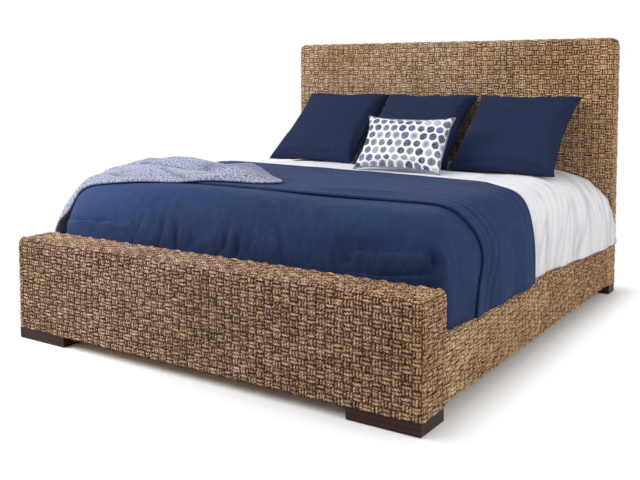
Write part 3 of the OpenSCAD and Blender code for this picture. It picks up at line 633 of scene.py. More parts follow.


# Woven cloth: four colours (dark and light threads, broad patches, painted shade in creases), then
# its feel
def clothFinish(name, colours, roughness, sheen, slub, mottle=0.0, paintedLeftLight=None, crumpled=0.0):
    dark, light, fold, dent = (paint(*colour) for colour in colours)
    cloth = Finish(name, Roughness=roughness, Sheen_Weight=sheen, Sheen_Roughness=0.45,
                   Specular_IOR_Level=0.12)
    across, down = cloth.attribute("across"), cloth.attribute("down")
    laid = cloth.joined(across, down, 0.0)
    weft = cloth.noise(slub, 3, cloth.stretched(laid, 0.12, 1, 1))
    warp = cloth.noise(slub, 3, cloth.stretched(laid, 1, 0.12, 1))
    threads = 420 * 6.2832
    yarn = ((across * threads).sine() + (down * threads).sine()) * 0.25 + 0.5
    base = cloth.mix(weft * 0.5 + warp * 0.5, dark, light)
    base = cloth.mix(cloth.noise(2.6, 3).between(0.3, 0.7) * 0.35, base, fold)
    if mottle:
        blotch = cloth.noise(34, 4, cloth.stretched(laid, 0.7, 1.3, 1), 0.65)
        base = cloth.mix(blotch.between(0.38, 0.62) * mottle, base, dark)
        blotch = cloth.noise(21, 4, cloth.stretched(laid, 1.3, 0.8, 1), 0.65)
        base = cloth.mix(blotch.between(0.42, 0.66) * mottle, base, light)
    x, y, z = cloth.parts(cloth.place)
    if paintedLeftLight:  # painted light, paler to the left, and painted shade, a little darker on top
        base = cloth.mix((x * -1).between(0.25, 1.0) * 0.4, base, paint(*paintedLeftLight))
        top = y.between(-0.76, -0.70) * z.between(0.64, 0.71)
        base = cloth.mix(top, base, paint(236, 242, 251), "MULTIPLY")
    # painted shade where the mesh marks creases and hollows
    base = cloth.mix(cloth.attribute("dent") * 0.78, base, dent)
    cloth.feed(Base_Color=base, Roughness=roughness + warp * 0.1 - 0.05)
    relief = yarn * 0.35 + weft * 0.8 + warp * 0.8
    if crumpled:  # small crumples at the foot, where the cloth is stuffed behind the board
        here = (1 - y.between(-0.99, -0.84)) * (1 - z.between(0.53, 0.66))
        small = cloth.noise(19, 3, cloth.stretched(laid, 1, 0.42, 1), 0.55)
        relief = relief + small * (here + 0.12) * crumpled
    return cloth.bump(relief, 0.5, 0.0006).material


def knitFinish():
    knit = Finish("speckledKnit", Roughness=0.93, Sheen_Weight=0.35, Sheen_Roughness=0.5)
    across, down = knit.attribute("across"), knit.attribute("down")
    laid = knit.joined(across, down, 0.0)
    cells = knit.node("ShaderNodeTexVoronoi", dict(feature="F1"),
                      {"Vector": laid, "Scale": 210, "Randomness": 0.8})
    speck = knit.noise(130, 2, laid, 0.6)
    wide = knit.noise(26, 2, laid)
    loops = 1 - cells.between(0.1, 0.62)
    base = knit.mix(speck.between(0.42, 0.56), paint(66, 74, 116), paint(176, 178, 200))
    base = knit.mix(loops * 0.25, base, paint(204, 206, 220))
    base = knit.mix(wide.between(0.5, 0.8) * 0.35, base, paint(112, 122, 160))
    # painted shade in the throw's pinches and creases
    base = knit.mix(knit.attribute("dent") * 0.75, base, paint(72, 79, 116))
    knit.feed(Base_Color=base)
    return knit.bump(loops + speck * 0.5, 0.9, 0.0022).material


def dotFinish():
    printed = Finish("dottedCotton", Roughness=0.8, Sheen_Weight=0.1)
    across, down = printed.attribute("across"), printed.attribute("down")
    spacing, rowStep = 0.0535, 0.0465
    row = (down / rowStep).floor()
    column = across / spacing + row.maths("MODULO", row, 2.0) * 0.5
    cell = column.floor()
    chance, other = (printed.node("ShaderNodeTexWhiteNoise", dict(noise_dimensions="2D"),
                                  {"Vector": printed.joined(cell + a, row + b, 0.0)}, "Value")
                     for a, b in ((0.0, 0.0), (31.7, 12.3)))
    x = (column - cell - 0.5) * spacing
    y = (down / rowStep - row - 0.5) * rowStep
    wobble = printed.noise(60, 1, printed.joined(across, down, chance)) * 0.004 - 0.002
    far = (x * x + y * y) ** 0.5 + wobble
    radius = 0.0188 + other * 0.0040
    dot = 1 - (far - radius).between(-0.0006, 0.0006)
    ring = (far - radius * 0.55).between(-0.0006, 0.0006)
    shade = printed.node("ShaderNodeValToRGB", dict(stops=[
        (0.0, paint(34, 40, 66)), (0.2, paint(100, 103, 112)), (0.38, paint(146, 150, 160)),
        (0.52, paint(60, 60, 92)), (0.66, paint(132, 136, 98)), (0.74, paint(84, 98, 132)),
        (0.86, paint(64, 64, 74)), (0.93, paint(172, 173, 180))]), {"Fac": chance})
    shade.socket.node.color_ramp.interpolation = "CONSTANT"
    washed = printed.noise(85, 3, printed.joined(across, down, other))
    ink = printed.mix(washed.between(0.4, 0.8) * 0.4, shade, paint(206, 208, 216))
    ink = printed.mix((1 - ring) * other.between(0.5, 0.52) * 0.5, ink, paint(60, 66, 104))
    base = printed.mix(dot, paint(224, 225, 232), ink)
    printed.feed(Base_Color=base)
    yarn = printed.noise(700, 2, printed.joined(across, down, 0.0))
    return printed.bump(yarn, 0.35, 0.0006).material


navyDuvet = clothFinish("navyDuvet", ((31, 46, 80), (42, 61, 100), (27, 41, 73), (12, 18, 36)),
                        0.85, 0.03, 220, mottle=0.5, paintedLeftLight=(62, 86, 138), crumpled=26)
navyPillow = clothFinish("navyLinen", ((25, 35, 61), (34, 46, 76), (23, 31, 55), (14, 19, 34)),
                         0.86, 0.03, 300, mottle=0.35)
whiteQuilt = clothFinish("whiteCotton", ((225, 225, 231), (240, 240, 244), (228, 228, 235),
                                         (150, 153, 168)), 0.85, 0.1, 180)
tickingCloth = clothFinish("ticking", ((205, 203, 198), (232, 230, 226), (214, 212, 208),
                                       (160, 158, 154)), 0.85, 0.1, 260)
tickingEdge = clothFinish("tickingEdge", ((150, 150, 156), (176, 176, 182), (140, 140, 148),
                                          (110, 110, 118)), 0.8, 0.1, 300)
pipingCloth = clothFinish("pipingCloth", ((112, 120, 142), (140, 147, 166), (104, 112, 136),
                                          (70, 76, 96)), 0.8, 0.1, 300)
speckledKnit, dottedCotton = knitFinish(), dotFinish()
print("cloth finishes made")


# The same soft dome as the frame's solids: flattened across, falling to the footboard
dome = dict(bottom=0.2983, rise=0.4047, side=1.003, headSide=1.088, crownY=0.200,
            crownReach=1.206, crownPower=2.25, footPower=28, middlePower=20, headPower=7,
            headRun=1.045, wave=0.005, wavePitch=0.270)


def ease(t):
    t = np.clip(t, 0, 1)
    return t * t * (3 - 2 * t)


def domePoint(y, angle, grow):
    d, headward = dome, ease(np.asarray(y) / dome["headRun"])
    power = d["middlePower"] + (d["headPower"] - d["middlePower"]) * headward
    half = d["side"] + (d["headSide"] - d["side"]) * headward
    side, up = np.abs(np.sin(angle)), np.clip(np.cos(angle), 0, 1)
    fall = 1 - np.clip((d["crownY"] - y) / (d["crownReach"] + grow / 3), 0, 1) \
        ** d["footPower"]
    spread = grow + d["wave"] * side ** 8 * np.sin(2 * np.pi * y / d["wavePitch"])
    x = np.sign(angle) * (half + spread) * fall ** (1 / power) * side ** (2 / power)
    z = d["bottom"] + (d["rise"] + grow) * fall ** (1 / d["crownPower"]) \
        * up ** (2 / d["crownPower"])
    return np.stack([x, y + 0 * x, z], -1)


def lengthsOf(line):  # how far along a line of points each one lies
    return np.concatenate([[0], np.cumsum(np.linalg.norm(np.diff(line, axis=0), axis=1))])


# Angles round the dome at y that stand at equal steps along the cloth, and those steps
def evenAngles(y, grow, columns):
    power = dome["middlePower"] \
        + (dome["headPower"] - dome["middlePower"]) * float(ease(y / dome["headRun"]))
    flat = np.arcsin(np.linspace(0, 0.93, 600) ** (power / 2))
    t = np.concatenate([flat, np.linspace(flat[-1], np.pi / 2, 600)[1:]])
    line = domePoint(np.full_like(t, y), t, grow)
    line[0, 0] = 0
    run = lengthsOf(line)
    reach = np.linspace(-1, 1, columns)
    return np.sign(reach) * np.interp(np.abs(reach) * run[-1], run, t), reach * run[-1]


# Places along the bed that stand at equal steps along the crown, closer at the foot
def evenRows(y0, y1, rows, grow):
    y = np.concatenate([np.linspace(y0, y0 + 0.06, 900), np.linspace(y0 + 0.0601, y1, 900)])
    run = lengthsOf(domePoint(y, np.full_like(y, 0.01), grow))
    return np.interp(np.linspace(0, run[-1], rows), run, y), np.linspace(0, run[-1], rows)


def soft(across, down, spanAcross, spanDown, seed):  # smooth noise, -1 to 1
    flat = [noise.noise(Vector((a / spanAcross, d / spanDown, seed)))
            for a, d in zip(np.ravel(across), np.ravel(down))]
    return np.reshape(flat, np.shape(across))


def softLine(along, span, seed):  # the same, along one direction only
    return soft(along, 0 * along, span, 1, seed)


def crease(across, down, spanAcross, spanDown, seed):  # sharp ridges between soft hollows
    return 1 - 2 * np.abs(soft(across, down, spanAcross, spanDown, seed))


def valley(across, down, spanAcross, spanDown, seed, sharp=0.6):  # narrow lines, 0 to 1
    lines = crease(across, down, spanAcross, spanDown, seed)
    return ((lines.clip(sharp, 1) - sharp) / (1 - sharp)) ** 1.5


def secondSheet(bm):  # joined to the first one all round; returns its points
    made = bmesh.ops.extrude_face_region(bm, geom=bm.faces[:], use_keep_orig=True)["geom"]
    return [v for v in made if isinstance(v, bmesh.types.BMVert)]


def lifted(points, gap):  # kept just above the dome's flat underside
    points[..., 2] = np.maximum(points[..., 2], dome["bottom"] + gap)
    return points


# A closed shell between two layers of points, each rows by columns
def clothShell(name, outer, inner, across, down, dent):
    rows, columns = outer.shape[:2]
    bm = bmesh.new()
    where = [bm.verts.layers.int.new(n) for n in ("row", "column")]
    reach = [bm.verts.layers.float.new(n) for n in ("across", "down", "dent")]
    bmesh.ops.create_grid(bm, x_segments=columns - 1, y_segments=rows - 1, size=1)
    for v in bm.verts:
        i, j = round((v.co.y + 1) / 2 * (rows - 1)), round((v.co.x + 1) / 2 * (columns - 1))
        v[where[0]], v[where[1]] = i, j
        v[reach[0]], v[reach[1]], v[reach[2]] = across[i, j], down[i, j], dent[i, j]
        v.co = outer[i, j]
    for v in secondSheet(bm):
        v.co = inner[v[where[0]], v[where[1]]]
    bmesh.ops.recalc_face_normals(bm, faces=bm.faces)
    return meshFrom(bm, name)


beds = dict(halfX=0.965, y0=-0.970, y1=1.060, top=0.636, middle=0.366, low=0.166,
            corner=0.110, shoulder=0.085, edge=0.012, inset=0.015, split=0.001,
            pipings=(("Top", 0.574, 0.006), ("Low", 0.4435, 0.004)))


def paddedBlock(name, low, high, corner, shoulder, body, node):
    bm = boxBetween(low, high)
    upright = [e for e in bm.edges if abs(e.verts[0].co.z - e.verts[1].co.z) > 0.01]
    bmesh.ops.bevel(bm, geom=upright, offset=corner, offset_type="OFFSET", affect="EDGES",
                    segments=8, profile=0.5, material=-1)
    flats = [f for f in bm.faces if abs(f.normal.z) > 0.9]
    rims = list({e for f in flats for e in f.edges})
    bmesh.ops.bevel(bm, geom=rims, offset=shoulder, offset_type="OFFSET", affect="EDGES",
                    segments=6, profile=0.5, material=-1, clamp_overlap=True)
    bmesh.ops.triangulate(bm, faces=[f for f in bm.faces if len(f.verts) > 4])
    bmesh.ops.recalc_face_normals(bm, faces=bm.faces)
    addPiece(name, meshFrom(bm, name), body, tickingCloth, [node])


# A round cord once round the mattress, carried along its sides and spun at its corners
def pipingLoop(name, z, halfX, y0, y1, corner, radius=0.005):
    bm = bmesh.new()
    bmesh.ops.create_circle(bm, segments=10, radius=radius)
    bmesh.ops.rotate(bm, verts=bm.verts, matrix=Euler((math.pi / 2, 0, 0)).to_matrix())
    bmesh.ops.translate(bm, verts=bm.verts, vec=(halfX, y0 + corner, z))
    ring = bm.edges[:]
    longRun, wideRun = y1 - y0 - 2 * corner, 2 * halfX - 2 * corner
    for run, x, y in (((0, longRun, 0), halfX - corner, y1 - corner),
                      ((-wideRun, 0, 0), corner - halfX, y1 - corner),
                      ((0, -longRun, 0), corner - halfX, y0 + corner),
                      ((wideRun, 0, 0), halfX - corner, y0 + corner)):
        made = bmesh.ops.extrude_edge_only(bm, edges=ring)["geom"]
        verts = [g for g in made if isinstance(g, bmesh.types.BMVert)]
        bmesh.ops.translate(bm, verts=verts, vec=run)
        carried = [g for g in made if isinstance(g, bmesh.types.BMEdge)
                   and all(v in verts for v in g.verts)]
        made = bmesh.ops.spin(bm, geom=carried, cent=(x, y, z), axis=(0, 0, 1),
                              angle=math.pi / 2, steps=8, use_merge=False)["geom_last"]
        ring = [g for g in made if isinstance(g, bmesh.types.BMEdge)]
    bmesh.ops.remove_doubles(bm, verts=bm.verts, dist=0.0002)
    bmesh.ops.recalc_face_normals(bm, faces=bm.faces)
    addPiece(name, meshFrom(bm, name), "mattress", tickingEdge)


def layMattress():
    b = beds
    paddedBlock("mattressPad", (-b["halfX"], b["y0"], b["middle"]),
                (b["halfX"], b["y1"], b["top"]), b["corner"], b["shoulder"], "mattress",
                "mattress")
    for title, height, sunk in b["pipings"]:
        pipingLoop("mattressPiping" + title, height, b["halfX"] - sunk, b["y0"] + sunk,
                   b["y1"] - sunk, b["corner"] - sunk)
    for side, sign in (("left", -1), ("right", 1)):
        ends = sorted((sign * b["split"], sign * (b["halfX"] - b["inset"])))
        paddedBlock("boxSpring_" + side, (ends[0], b["y0"] + b["inset"], b["low"]),
                    (ends[1], b["y1"] - b["inset"], b["middle"]), b["corner"], b["edge"],
                    "bed_frame", "box_spring_" + side)


layMattress()
print("mattress and box springs laid")


quilt = dict(y0=-0.976, y1=1.085, rows=190, columns=241, pucker=0.0075)
duvet = dict(y0=-1.008, hem=-0.735, edge=-0.050, skew=0.190, thick=0.018, folded=0.032,
             lowRows=96, topRows=120, columns=261, tuck=0.19, tucked=0.0006,
             hemRows=7, foldRows=12)
# folds that run up the foot of the duvet: place across, width, height, reach and slope
duvetFolds = ((-0.53, 0.022, 0.004, 0.19, 0.4), (-0.49, 0.016, -0.006, 0.21, 0.3),
              (-0.38, 0.018, 0.005, 0.23, 0.1), (-0.345, 0.014, -0.007, 0.24, 0.1),
              (-0.29, 0.016, 0.006, 0.21, -0.2), (-0.255, 0.013, -0.007, 0.22, -0.2),
              (-0.05, 0.016, 0.004, 0.20, 0.3), (-0.01, 0.014, -0.006, 0.22, 0.3),
              (0.04, 0.016, 0.005, 0.18, 0.1), (0.07, 0.013, -0.006, 0.20, 0.1),
              (0.26, 0.020, 0.004, 0.18, -0.3), (0.30, 0.015, -0.006, 0.21, -0.3),
              (0.56, 0.022, -0.005, 0.16, -0.5), (0.62, 0.024, 0.004, 0.15, -0.6))
# lumps and hollows along the footboard: place and height, half width and half height, lean
# and depth; after the small ones the pinched right-hand corner and the rolls at both ends
duvetLumps = ((-0.42, 0.565, 0.020, 0.050, 0.15, 0.005), (-0.385, 0.56, 0.016, 0.045, 0.1, -0.006),
              (-0.26, 0.545, 0.018, 0.035, -0.1, -0.007), (-0.225, 0.55, 0.016, 0.03, 0, 0.005),
              (-0.17, 0.535, 0.016, 0.03, 0.15, -0.007), (0.02, 0.545, 0.016, 0.035, 0, -0.006),
              (0.055, 0.55, 0.014, 0.04, 0.05, 0.007), (0.09, 0.545, 0.015, 0.035, 0.1, -0.007),
              (0.145, 0.535, 0.02, 0.03, -0.2, -0.006), (0.185, 0.53, 0.018, 0.028, 0.1, 0.005),
              (0.62, 0.525, 0.026, 0.022, -0.3, -0.010), (0.66, 0.53, 0.018, 0.02, -0.2, 0.007),
              (0.73, 0.52, 0.022, 0.02, 0.2, -0.008), (0.965, 0.548, 0.018, 0.030, 0.6, -0.018),
              (0.925, 0.590, 0.030, 0.060, 0.7, 0.010), (0.990, 0.520, 0.020, 0.050, 0.4, 0.006),
              (0.840, 0.501, 0.130, 0.010, 0.10, -0.013), (0.840, 0.535, 0.150, 0.022, 0.06, 0.010),
              (-0.820, 0.512, 0.170, 0.018, 0.05, 0.009),
              (-0.800, 0.550, 0.150, 0.014, 0.08, -0.008), (0.66, 0.585, 0.16, 0.045, 0.1, -0.005))
# hollows on top, the same way, and the shaded spots of the foot
duvetHollows = ((0.30, -0.90, 0.22, 0.05, 0.3, -0.006), (-0.15, -0.86, 0.25, 0.05, -0.1, 0.006))
duvetShades = ((0.962, 0.552, 0.026, 0.036, 0.6, 0.6), (0.66, 0.590, 0.17, 0.05, 0.1, 0.28))
# ridges of the folded part, from its head edge and from its hem: place, width and height
edgeRidges = ((0.085, 0.014, 0.0055), (0.15, 0.02, 0.0030), (0.055, 0.014, -0.0035))
hemRidges = ((0.050, 0.011, 0.0060), (0.105, 0.013, 0.0058), (0.160, 0.014, 0.0045),
             (0.078, 0.010, -0.0050), (0.132, 0.011, -0.0045))


def duvetEdge(x):
    return duvet["edge"] + duvet["skew"] * (1 - (x + dome["side"]) / (2 * dome["side"])) \
        - 0.06 * np.exp(-((x - 0.88) / 0.08) ** 2)


# The outside of the padded mattress, seen from a point of the quilt
def onMattress(points, gap):
    b = beds
    r = b["shoulder"]
    low = np.array([r - b["halfX"], b["y0"] + r, -9])
    high = np.array([b["halfX"] - r, b["y1"] + 0.06 - r, b["top"] - r])
    core = np.clip(points, low, high)
    out = points - core
    far = np.maximum(np.linalg.norm(out, axis=-1, keepdims=True), 1e-6)
    return core + out / far * np.minimum(r + gap, far - 0.003)


def gridOf(ys, downs, columns, grow):
    pairs = [evenAngles(y, grow, columns) for y in ys]
    angles = np.array([p[0] for p in pairs])
    across = np.array([p[1] for p in pairs])
    rows = np.repeat(ys[:, None], columns, axis=1)
    return rows, angles, across, np.repeat(downs[:, None], columns, axis=1)


def makeQuilt():
    q = quilt
    ys, downs = evenRows(q["y0"], q["y1"], q["rows"], 0)
    y, angle, across, down = gridOf(ys, downs, q["columns"], 0)
    x = domePoint(y, angle, 0)[..., 0]
    bare = ease((y - duvetEdge(x) + 0.03) / 0.06)
    sway = 0.06 * soft(across, y, 0.5, 0.5, 3.1) + 0.30 * ease((np.abs(across) - 0.6) / 0.9)
    fine = valley(across, y + sway, 0.45, 0.055, 1.7)
    wide = valley(across, y + 1.3 * sway, 0.60, 0.13, 5.2, 0.5)
    crinkle = soft(across, y, 0.045, 0.03, 8.8)
    shoulder = ease((np.abs(across) - 0.50) / 0.35)
    puffs = 0.5 + soft(across, y + sway, 0.35, 0.09, 2.7)
    lines = bare * (fine * (0.35 + 0.65 * shoulder) + 0.9 * wide * (0.5 + 0.5 * shoulder))
    g = -q["pucker"] * (lines + bare * (0.15 * crinkle.clip(-1, 1) + 0.5 * puffs.clip(0, 1)))
    outer = lifted(domePoint(y, angle, g), 0.001)
    inner = onMattress(domePoint(y, angle, np.zeros_like(g)), 0.0006)
    # painted shade along the pucker lines
    mesh = clothShell("whiteQuilt", outer, inner, across, down, (0.40 * lines).clip(0, 1))
    addPiece("whiteQuilt", mesh, "mattress", whiteQuilt, ["quilt"])


# The sum of a list of soft spots, each an oval that may lean
def spots(across, down, facts):
    total = 0 * across
    for at, atDown, reach, reachDown, lean, deep in facts:
        a, d = across - at, down - atDown
        a, d = a * math.cos(lean) + d * math.sin(lean), d * math.cos(lean) - a * math.sin(lean)
        total += deep * np.exp(-(a / reach) ** 2 - (d / reachDown) ** 2)
    return total


def ridgesAt(far, facts):
    return sum(high * np.exp(-((far - at) / width) ** 2) for at, width, high in facts)


def makeDuvetLower():
    d = duvet
    ys, downs = evenRows(d["y0"], d["hem"] + d["tuck"], d["lowRows"], d["thick"])
    y, angle, across, down = gridOf(ys, downs, d["columns"], d["thick"])
    bare = domePoint(y, angle, d["thick"])
    x, height = bare[..., 0], bare[..., 2]
    footFace = ease((0.52 - down) / 0.30)
    sideFace = ease((0.66 - height) / 0.12)
    foot = ease((-0.90 - y) / 0.04)
    broad = soft(across, down, 0.42, 0.30, 2.2) * 0.0065
    bent = across + 0.03 * soft(across, down, 0.3, 0.2, 5.9)
    upright = crease(y, height, 0.045, 0.5, 4.4)
    crumple = valley(across, down, 0.22, 0.13, 7.7)
    g = broad + 0.0022 * upright * sideFace - 0.0014 * crumple * (0.25 + 0.75 * footFace)
    for place, width, high, reach, slope in duvetFolds:
        line = (bent - place - slope * (down - 0.1)) / (width * (0.7 + 1.5 * down))
        g += high * np.exp(-line ** 2) * ease((reach - down) / 0.10)
    g += foot * spots(x, height, duvetLumps) + spots(x, y, duvetHollows)
    g = np.clip(g, -0.0145, 0.010) * ease((down + 0.02) / 0.05)
    outer = lifted(domePoint(y, angle, d["thick"] + g), 0.0012)
    innerY = d["y0"] + 0.004 + (ys - ys[0])[:, None] * (1 - 0.006 / (ys[-1] - ys[0]))
    inner = lifted(domePoint(innerY + 0 * angle, angle, np.full_like(g, 0.001)), 0.0012)
    # painted shade in the cloth's hollows, along the foot's bottom by the footboard and at the
    # shaded spots
    dent = (-(g - broad) / 0.012).clip(0, 1) ** 1.4 \
        + foot * (0.35 * ease((0.56 - height) / 0.09) + spots(x, height, duvetShades))
    mesh = clothShell("duvetLower", outer, inner, across, down, dent.clip(0, 1))
    addPiece("duvetLower", mesh, "duvet", navyDuvet, ["duvet"])


# The folded part: a rounded hem over the lower part, and a rounded fold at the head
def makeDuvetFolded():
    d = duvet
    n, m, last = d["topRows"], d["hemRows"], d["foldRows"]
    lay = np.linspace(0, 1, n - m - last)
    hemTurn = np.linspace(-math.pi / 2, math.pi / 2, m, endpoint=False)
    foldTurn = np.linspace(math.pi / 2, -math.pi / 2, last + 1)[1:]
    low, high = d["thick"] + d["tucked"], d["folded"]
    half, turned = (high - low) / 2, high / 2
    angle, across = evenAngles(-0.3, high, d["columns"])
    x, y, z = domePoint(np.full_like(angle, -0.3), angle, high).T
    # the hem bows towards the foot on top and towards the head down the sides
    bowed = -0.035 * (1 - ease((np.abs(across) - 0.75) / 0.2)) \
        + 0.10 * ease((np.abs(across) - 0.85) / 0.15) * np.exp(-((z - 0.54) / 0.13) ** 2)
    wobble = 0.004 * softLine(across, 0.18, 5.5) + 0.002 * softLine(across, 0.05, 7.5)
    near = d["hem"] + half + wobble + bowed
    far = duvetEdge(x) - turned + 0.006 * softLine(across, 0.22, 1.5)
    y = np.concatenate([near - half * np.cos(hemTurn)[:, None],
                        near + (far - near) * lay[:, None],
                        far + turned * np.cos(foldTurn)[:, None]])
    grow = np.concatenate([low + half + half * np.sin(hemTurn)[:, None] + 0 * x,
                           high + 0 * lay[:, None] + 0 * x,
                           turned + (turned - 0.001) * np.sin(foldTurn)[:, None] + 0 * x])
    angle, across, x = (np.repeat(v[None], n, axis=0) for v in (angle, across, x))
    height = domePoint(y, angle, grow)[..., 2]
    fromHem, fromEdge = y - near + half, duvetEdge(x) - y
    top = 1 - ease((np.abs(across) - 0.78) / 0.2)
    long = crease(across, y + 0.02 * soft(across, y, 0.4, 0.3, 2.0), 0.75, 0.075, 3.3)
    ridges = ridgesAt(fromEdge, edgeRidges) + ease((x - 0.1) / 0.4) * ridgesAt(fromHem, hemRidges)
    upright = crease(y, height, 0.05, 0.6, 8.1)
    here = ease(soft(across, y, 0.45, 0.4, 12.6) * 1.6 + 0.3)
    g = 0.0045 * soft(across, y, 0.5, 0.25, 4.8) + 0.0038 * long.clip(0.2, 1) * top * here \
        + ridges * (0.4 + 0.6 * top) * (0.6 + 0.8 * softLine(across, 0.5, 6.1)) \
        + 0.0010 * upright * (1 - top) * here + 0.0008 * crease(across, y, 0.12, 0.10, 9.4)
    g = np.clip(g, -0.008, 0.008) * ease(fromHem / 0.05) * ease(fromEdge / 0.04)
    outer = lifted(domePoint(y, angle, grow + g), 0.0014)
    innerY = near + (far - near) * np.linspace(0, 1, n)[:, None]
    innerG = low + (0.001 - low) * ease((innerY - d["hem"] - d["tuck"] - 0.01) / 0.05)
    inner = lifted(domePoint(innerY, angle, innerG), 0.0014)
    # painted shade in the hollows of the folded part
    mesh = clothShell("duvetFolded", outer, inner, across, y, (-g / 0.010).clip(0, 1) ** 1.4)
    addPiece("duvetFolded", mesh, "duvet", navyDuvet, ["duvet"])


makeQuilt()
makeDuvetLower()
makeDuvetFolded()
print("quilt and duvet laid")


throw = dict(rows=200, columns=96, thick=0.007, fold=0.026, clear=0.0062, boardFace=-1.010,
             tipLow=0.288, sideLow=0.025, tipHigh=0.515, sideHigh=0.790, tip=0.048, flat=0.9,
             turn=0.62, drop=75, flare=0.055, slant=0.13, cut=(0.78, 1.46), area=0.80)
# where the throw stands highest along its length: place, reach and height
throwHumps = ((0.15, 0.075, 0.036), (0.43, 0.10, 0.030), (0.60, 0.07, 0.012))
# and where it is pinched: from and to, along and across it, and how wide
throwCreases = ((0.52, 0.42, 0.36, 0.34, 0.011), (0.40, 0.20, 0.26, 0.02, 0.010),
                (0.31, 0.48, 0.15, 0.42, 0.011), (0.62, 0.78, 0.44, 0.66, 0.013),
                (0.58, 0.16, 0.47, 0.05, 0.010))


def sideAngle(s):
    return np.sign(s) * np.arcsin(np.clip(np.abs(s), 0, 1) ** (dome["middlePower"] / 2))


def throwAngle(u):
    t = throw
    edge = sideAngle(-t["flat"])
    hang = edge - (math.radians(t["drop"]) + edge) * (u - t["turn"]) / (1 - t["turn"])
    return np.where(u < t["turn"],
                    sideAngle(t["tip"] - (t["tip"] + t["flat"]) * u / t["turn"]), hang)


def pinched(u, v, fromU, fromV, toU, toV, width):
    runU, runV = toU - fromU, toV - fromV
    reach = (((u - fromU) * runU + (v - fromV) * runV) / (runU ** 2 + runV ** 2)).clip(0, 1)
    far = np.hypot(u - fromU - reach * runU, 0.4 * (v - fromV - reach * runV))
    return np.exp(-(far / width) ** 2) * np.sin(np.pi * reach.clip(0.01, 0.99)) ** 0.3


def makeThrow():
    t = throw
    rowsU = np.linspace(0, 1, 1500)
    run = lengthsOf(domePoint(np.full_like(rowsU, -0.5), throwAngle(rowsU), 0.03))
    u = np.interp(np.linspace(0, run[-1], t["rows"]), run, rowsU)[:, None]
    v = np.linspace(0, 1, t["columns"])[None] + 0 * u
    fromEnd = u + 0 * v
    u = u + (1 - u) ** 2 * (0.05 * (1 - v / 0.35).clip(0, 1) ** 2
                            + t["slant"] * ((v - 0.35) / 0.65).clip(0, 1) ** 1.6)
    down = np.repeat(np.linspace(0, run[-1], t["rows"])[:, None], t["columns"], axis=1)
    low = t["tipLow"] + (t["sideLow"] - t["tipLow"]) * ease(1.25 * u)
    high = t["tipHigh"] + (t["sideHigh"] - t["tipHigh"]) * ease(2.2 * u)
    low += 0.014 * softLine(u, 0.13, 4.7) * ease((0.75 - u) / 0.2)
    across = v * (high - low)
    y = t["boardFace"] + low + across
    base = duvet["thick"] + (duvet["folded"] - duvet["thick"]) \
        * ease((y - duvet["hem"] + 0.09) / 0.08) + t["clear"]
    calm = 1 - 0.9 * ease(2.2 * (u - 0.5))
    bow = np.sin(np.pi * v.clip(0, 1))
    waves = 0.5 + 0.5 * np.sin(np.radians(620 * v + 160 * u))
    ridge = t["fold"] * bow ** 0.7 * waves * calm * ease(fromEnd / 0.12)
    raised = sum(h * np.exp(-((u - at) / reach) ** 2) for at, reach, h in throwHumps)
    lines = crease(v + 0.9 * u, 0.6 * u - v, 0.19, 0.55, 3.9).clip(0, 1) ** 2
    long = crease(v - 0.25 * u, u, 0.10, 0.8, 8.2).clip(0, 1) ** 2
    cross = crease(v + 1.3 * u, u - v, 0.30, 0.4, 6.6).clip(0, 1) ** 3
    extra = (0.012 * lines + 0.008 * long - 0.010 * cross) * bow ** 0.5 \
        * (0.35 + 0.65 * calm) * ease(fromEnd / 0.08)
    flare = t["flare"] * ease((u - t["turn"]) / (1 - t["turn"])) ** 1.5 * (1 - 0.5 * v)
    pinch = sum(pinched(u, v, *facts) for facts in throwCreases).clip(0, 1)
    stands = np.maximum(ridge + extra, 0) + raised * bow ** 0.8 * ease(fromEnd / 0.05)
    g = base + stands * (1 - 0.7 * pinch) + flare
    outer = domePoint(y, throwAngle(u), g + t["thick"])
    inner = domePoint(y, throwAngle(u), g)
    # painted shade in the pinches and creases
    dent = pinch + bow * (0.8 * cross + 0.5 * valley(v - 0.25 * u, u, 0.12, 0.9, 2.2, 0.7))
    mesh = clothShell("paleThrow", outer, inner, across, down, dent.clip(0, 1))
    return addPiece("paleThrow", mesh, "throw", speckledKnit, ["throw"])


paleThrow = makeThrow()
print("throw laid, %.3f square metres" % (sum(p.area for p in paleThrow.data.polygons) / 2))


pillows = dict(width=0.590, height=0.630, thick=0.150, cells=58, seed=5)
cushion = dict(width=0.530, height=0.345, thick=0.110, cells=52, seed=9)
sewn = dict(drawn=(0.066, 0.010), drawnEnds=0.040, crown=0.36, puckers=0.0035, creases=0.0012,
            mostBlown=0.022)
air = dict(quality=6, mass=0.3, tension_stiffness=30, compression_stiffness=30,
           shear_stiffness=12, bending_stiffness=0.6, use_pressure=True,
           uniform_pressure_force=3)
# each one's lean and turn in degrees, and whether the pouch is used mirrored
settled = {
    "pillow_left": dict(lean=51, turn=1, flip=(1, 1)),
    "pillow_centre": dict(lean=51, turn=3, flip=(-1, 1)),
    "pillow_right": dict(lean=51, turn=1, flip=(-1, -1)),
    "dotted_cushion": dict(lean=33, turn=0, flip=(1, 1)),
}


# One number for a vertex, an edge or a face, so that they always sort the same way
def rankOf(part):
    return sum(v.co.dot(Vector((3.1, 57.3, 1013.7))) for v in getattr(part, "verts", (part,)))


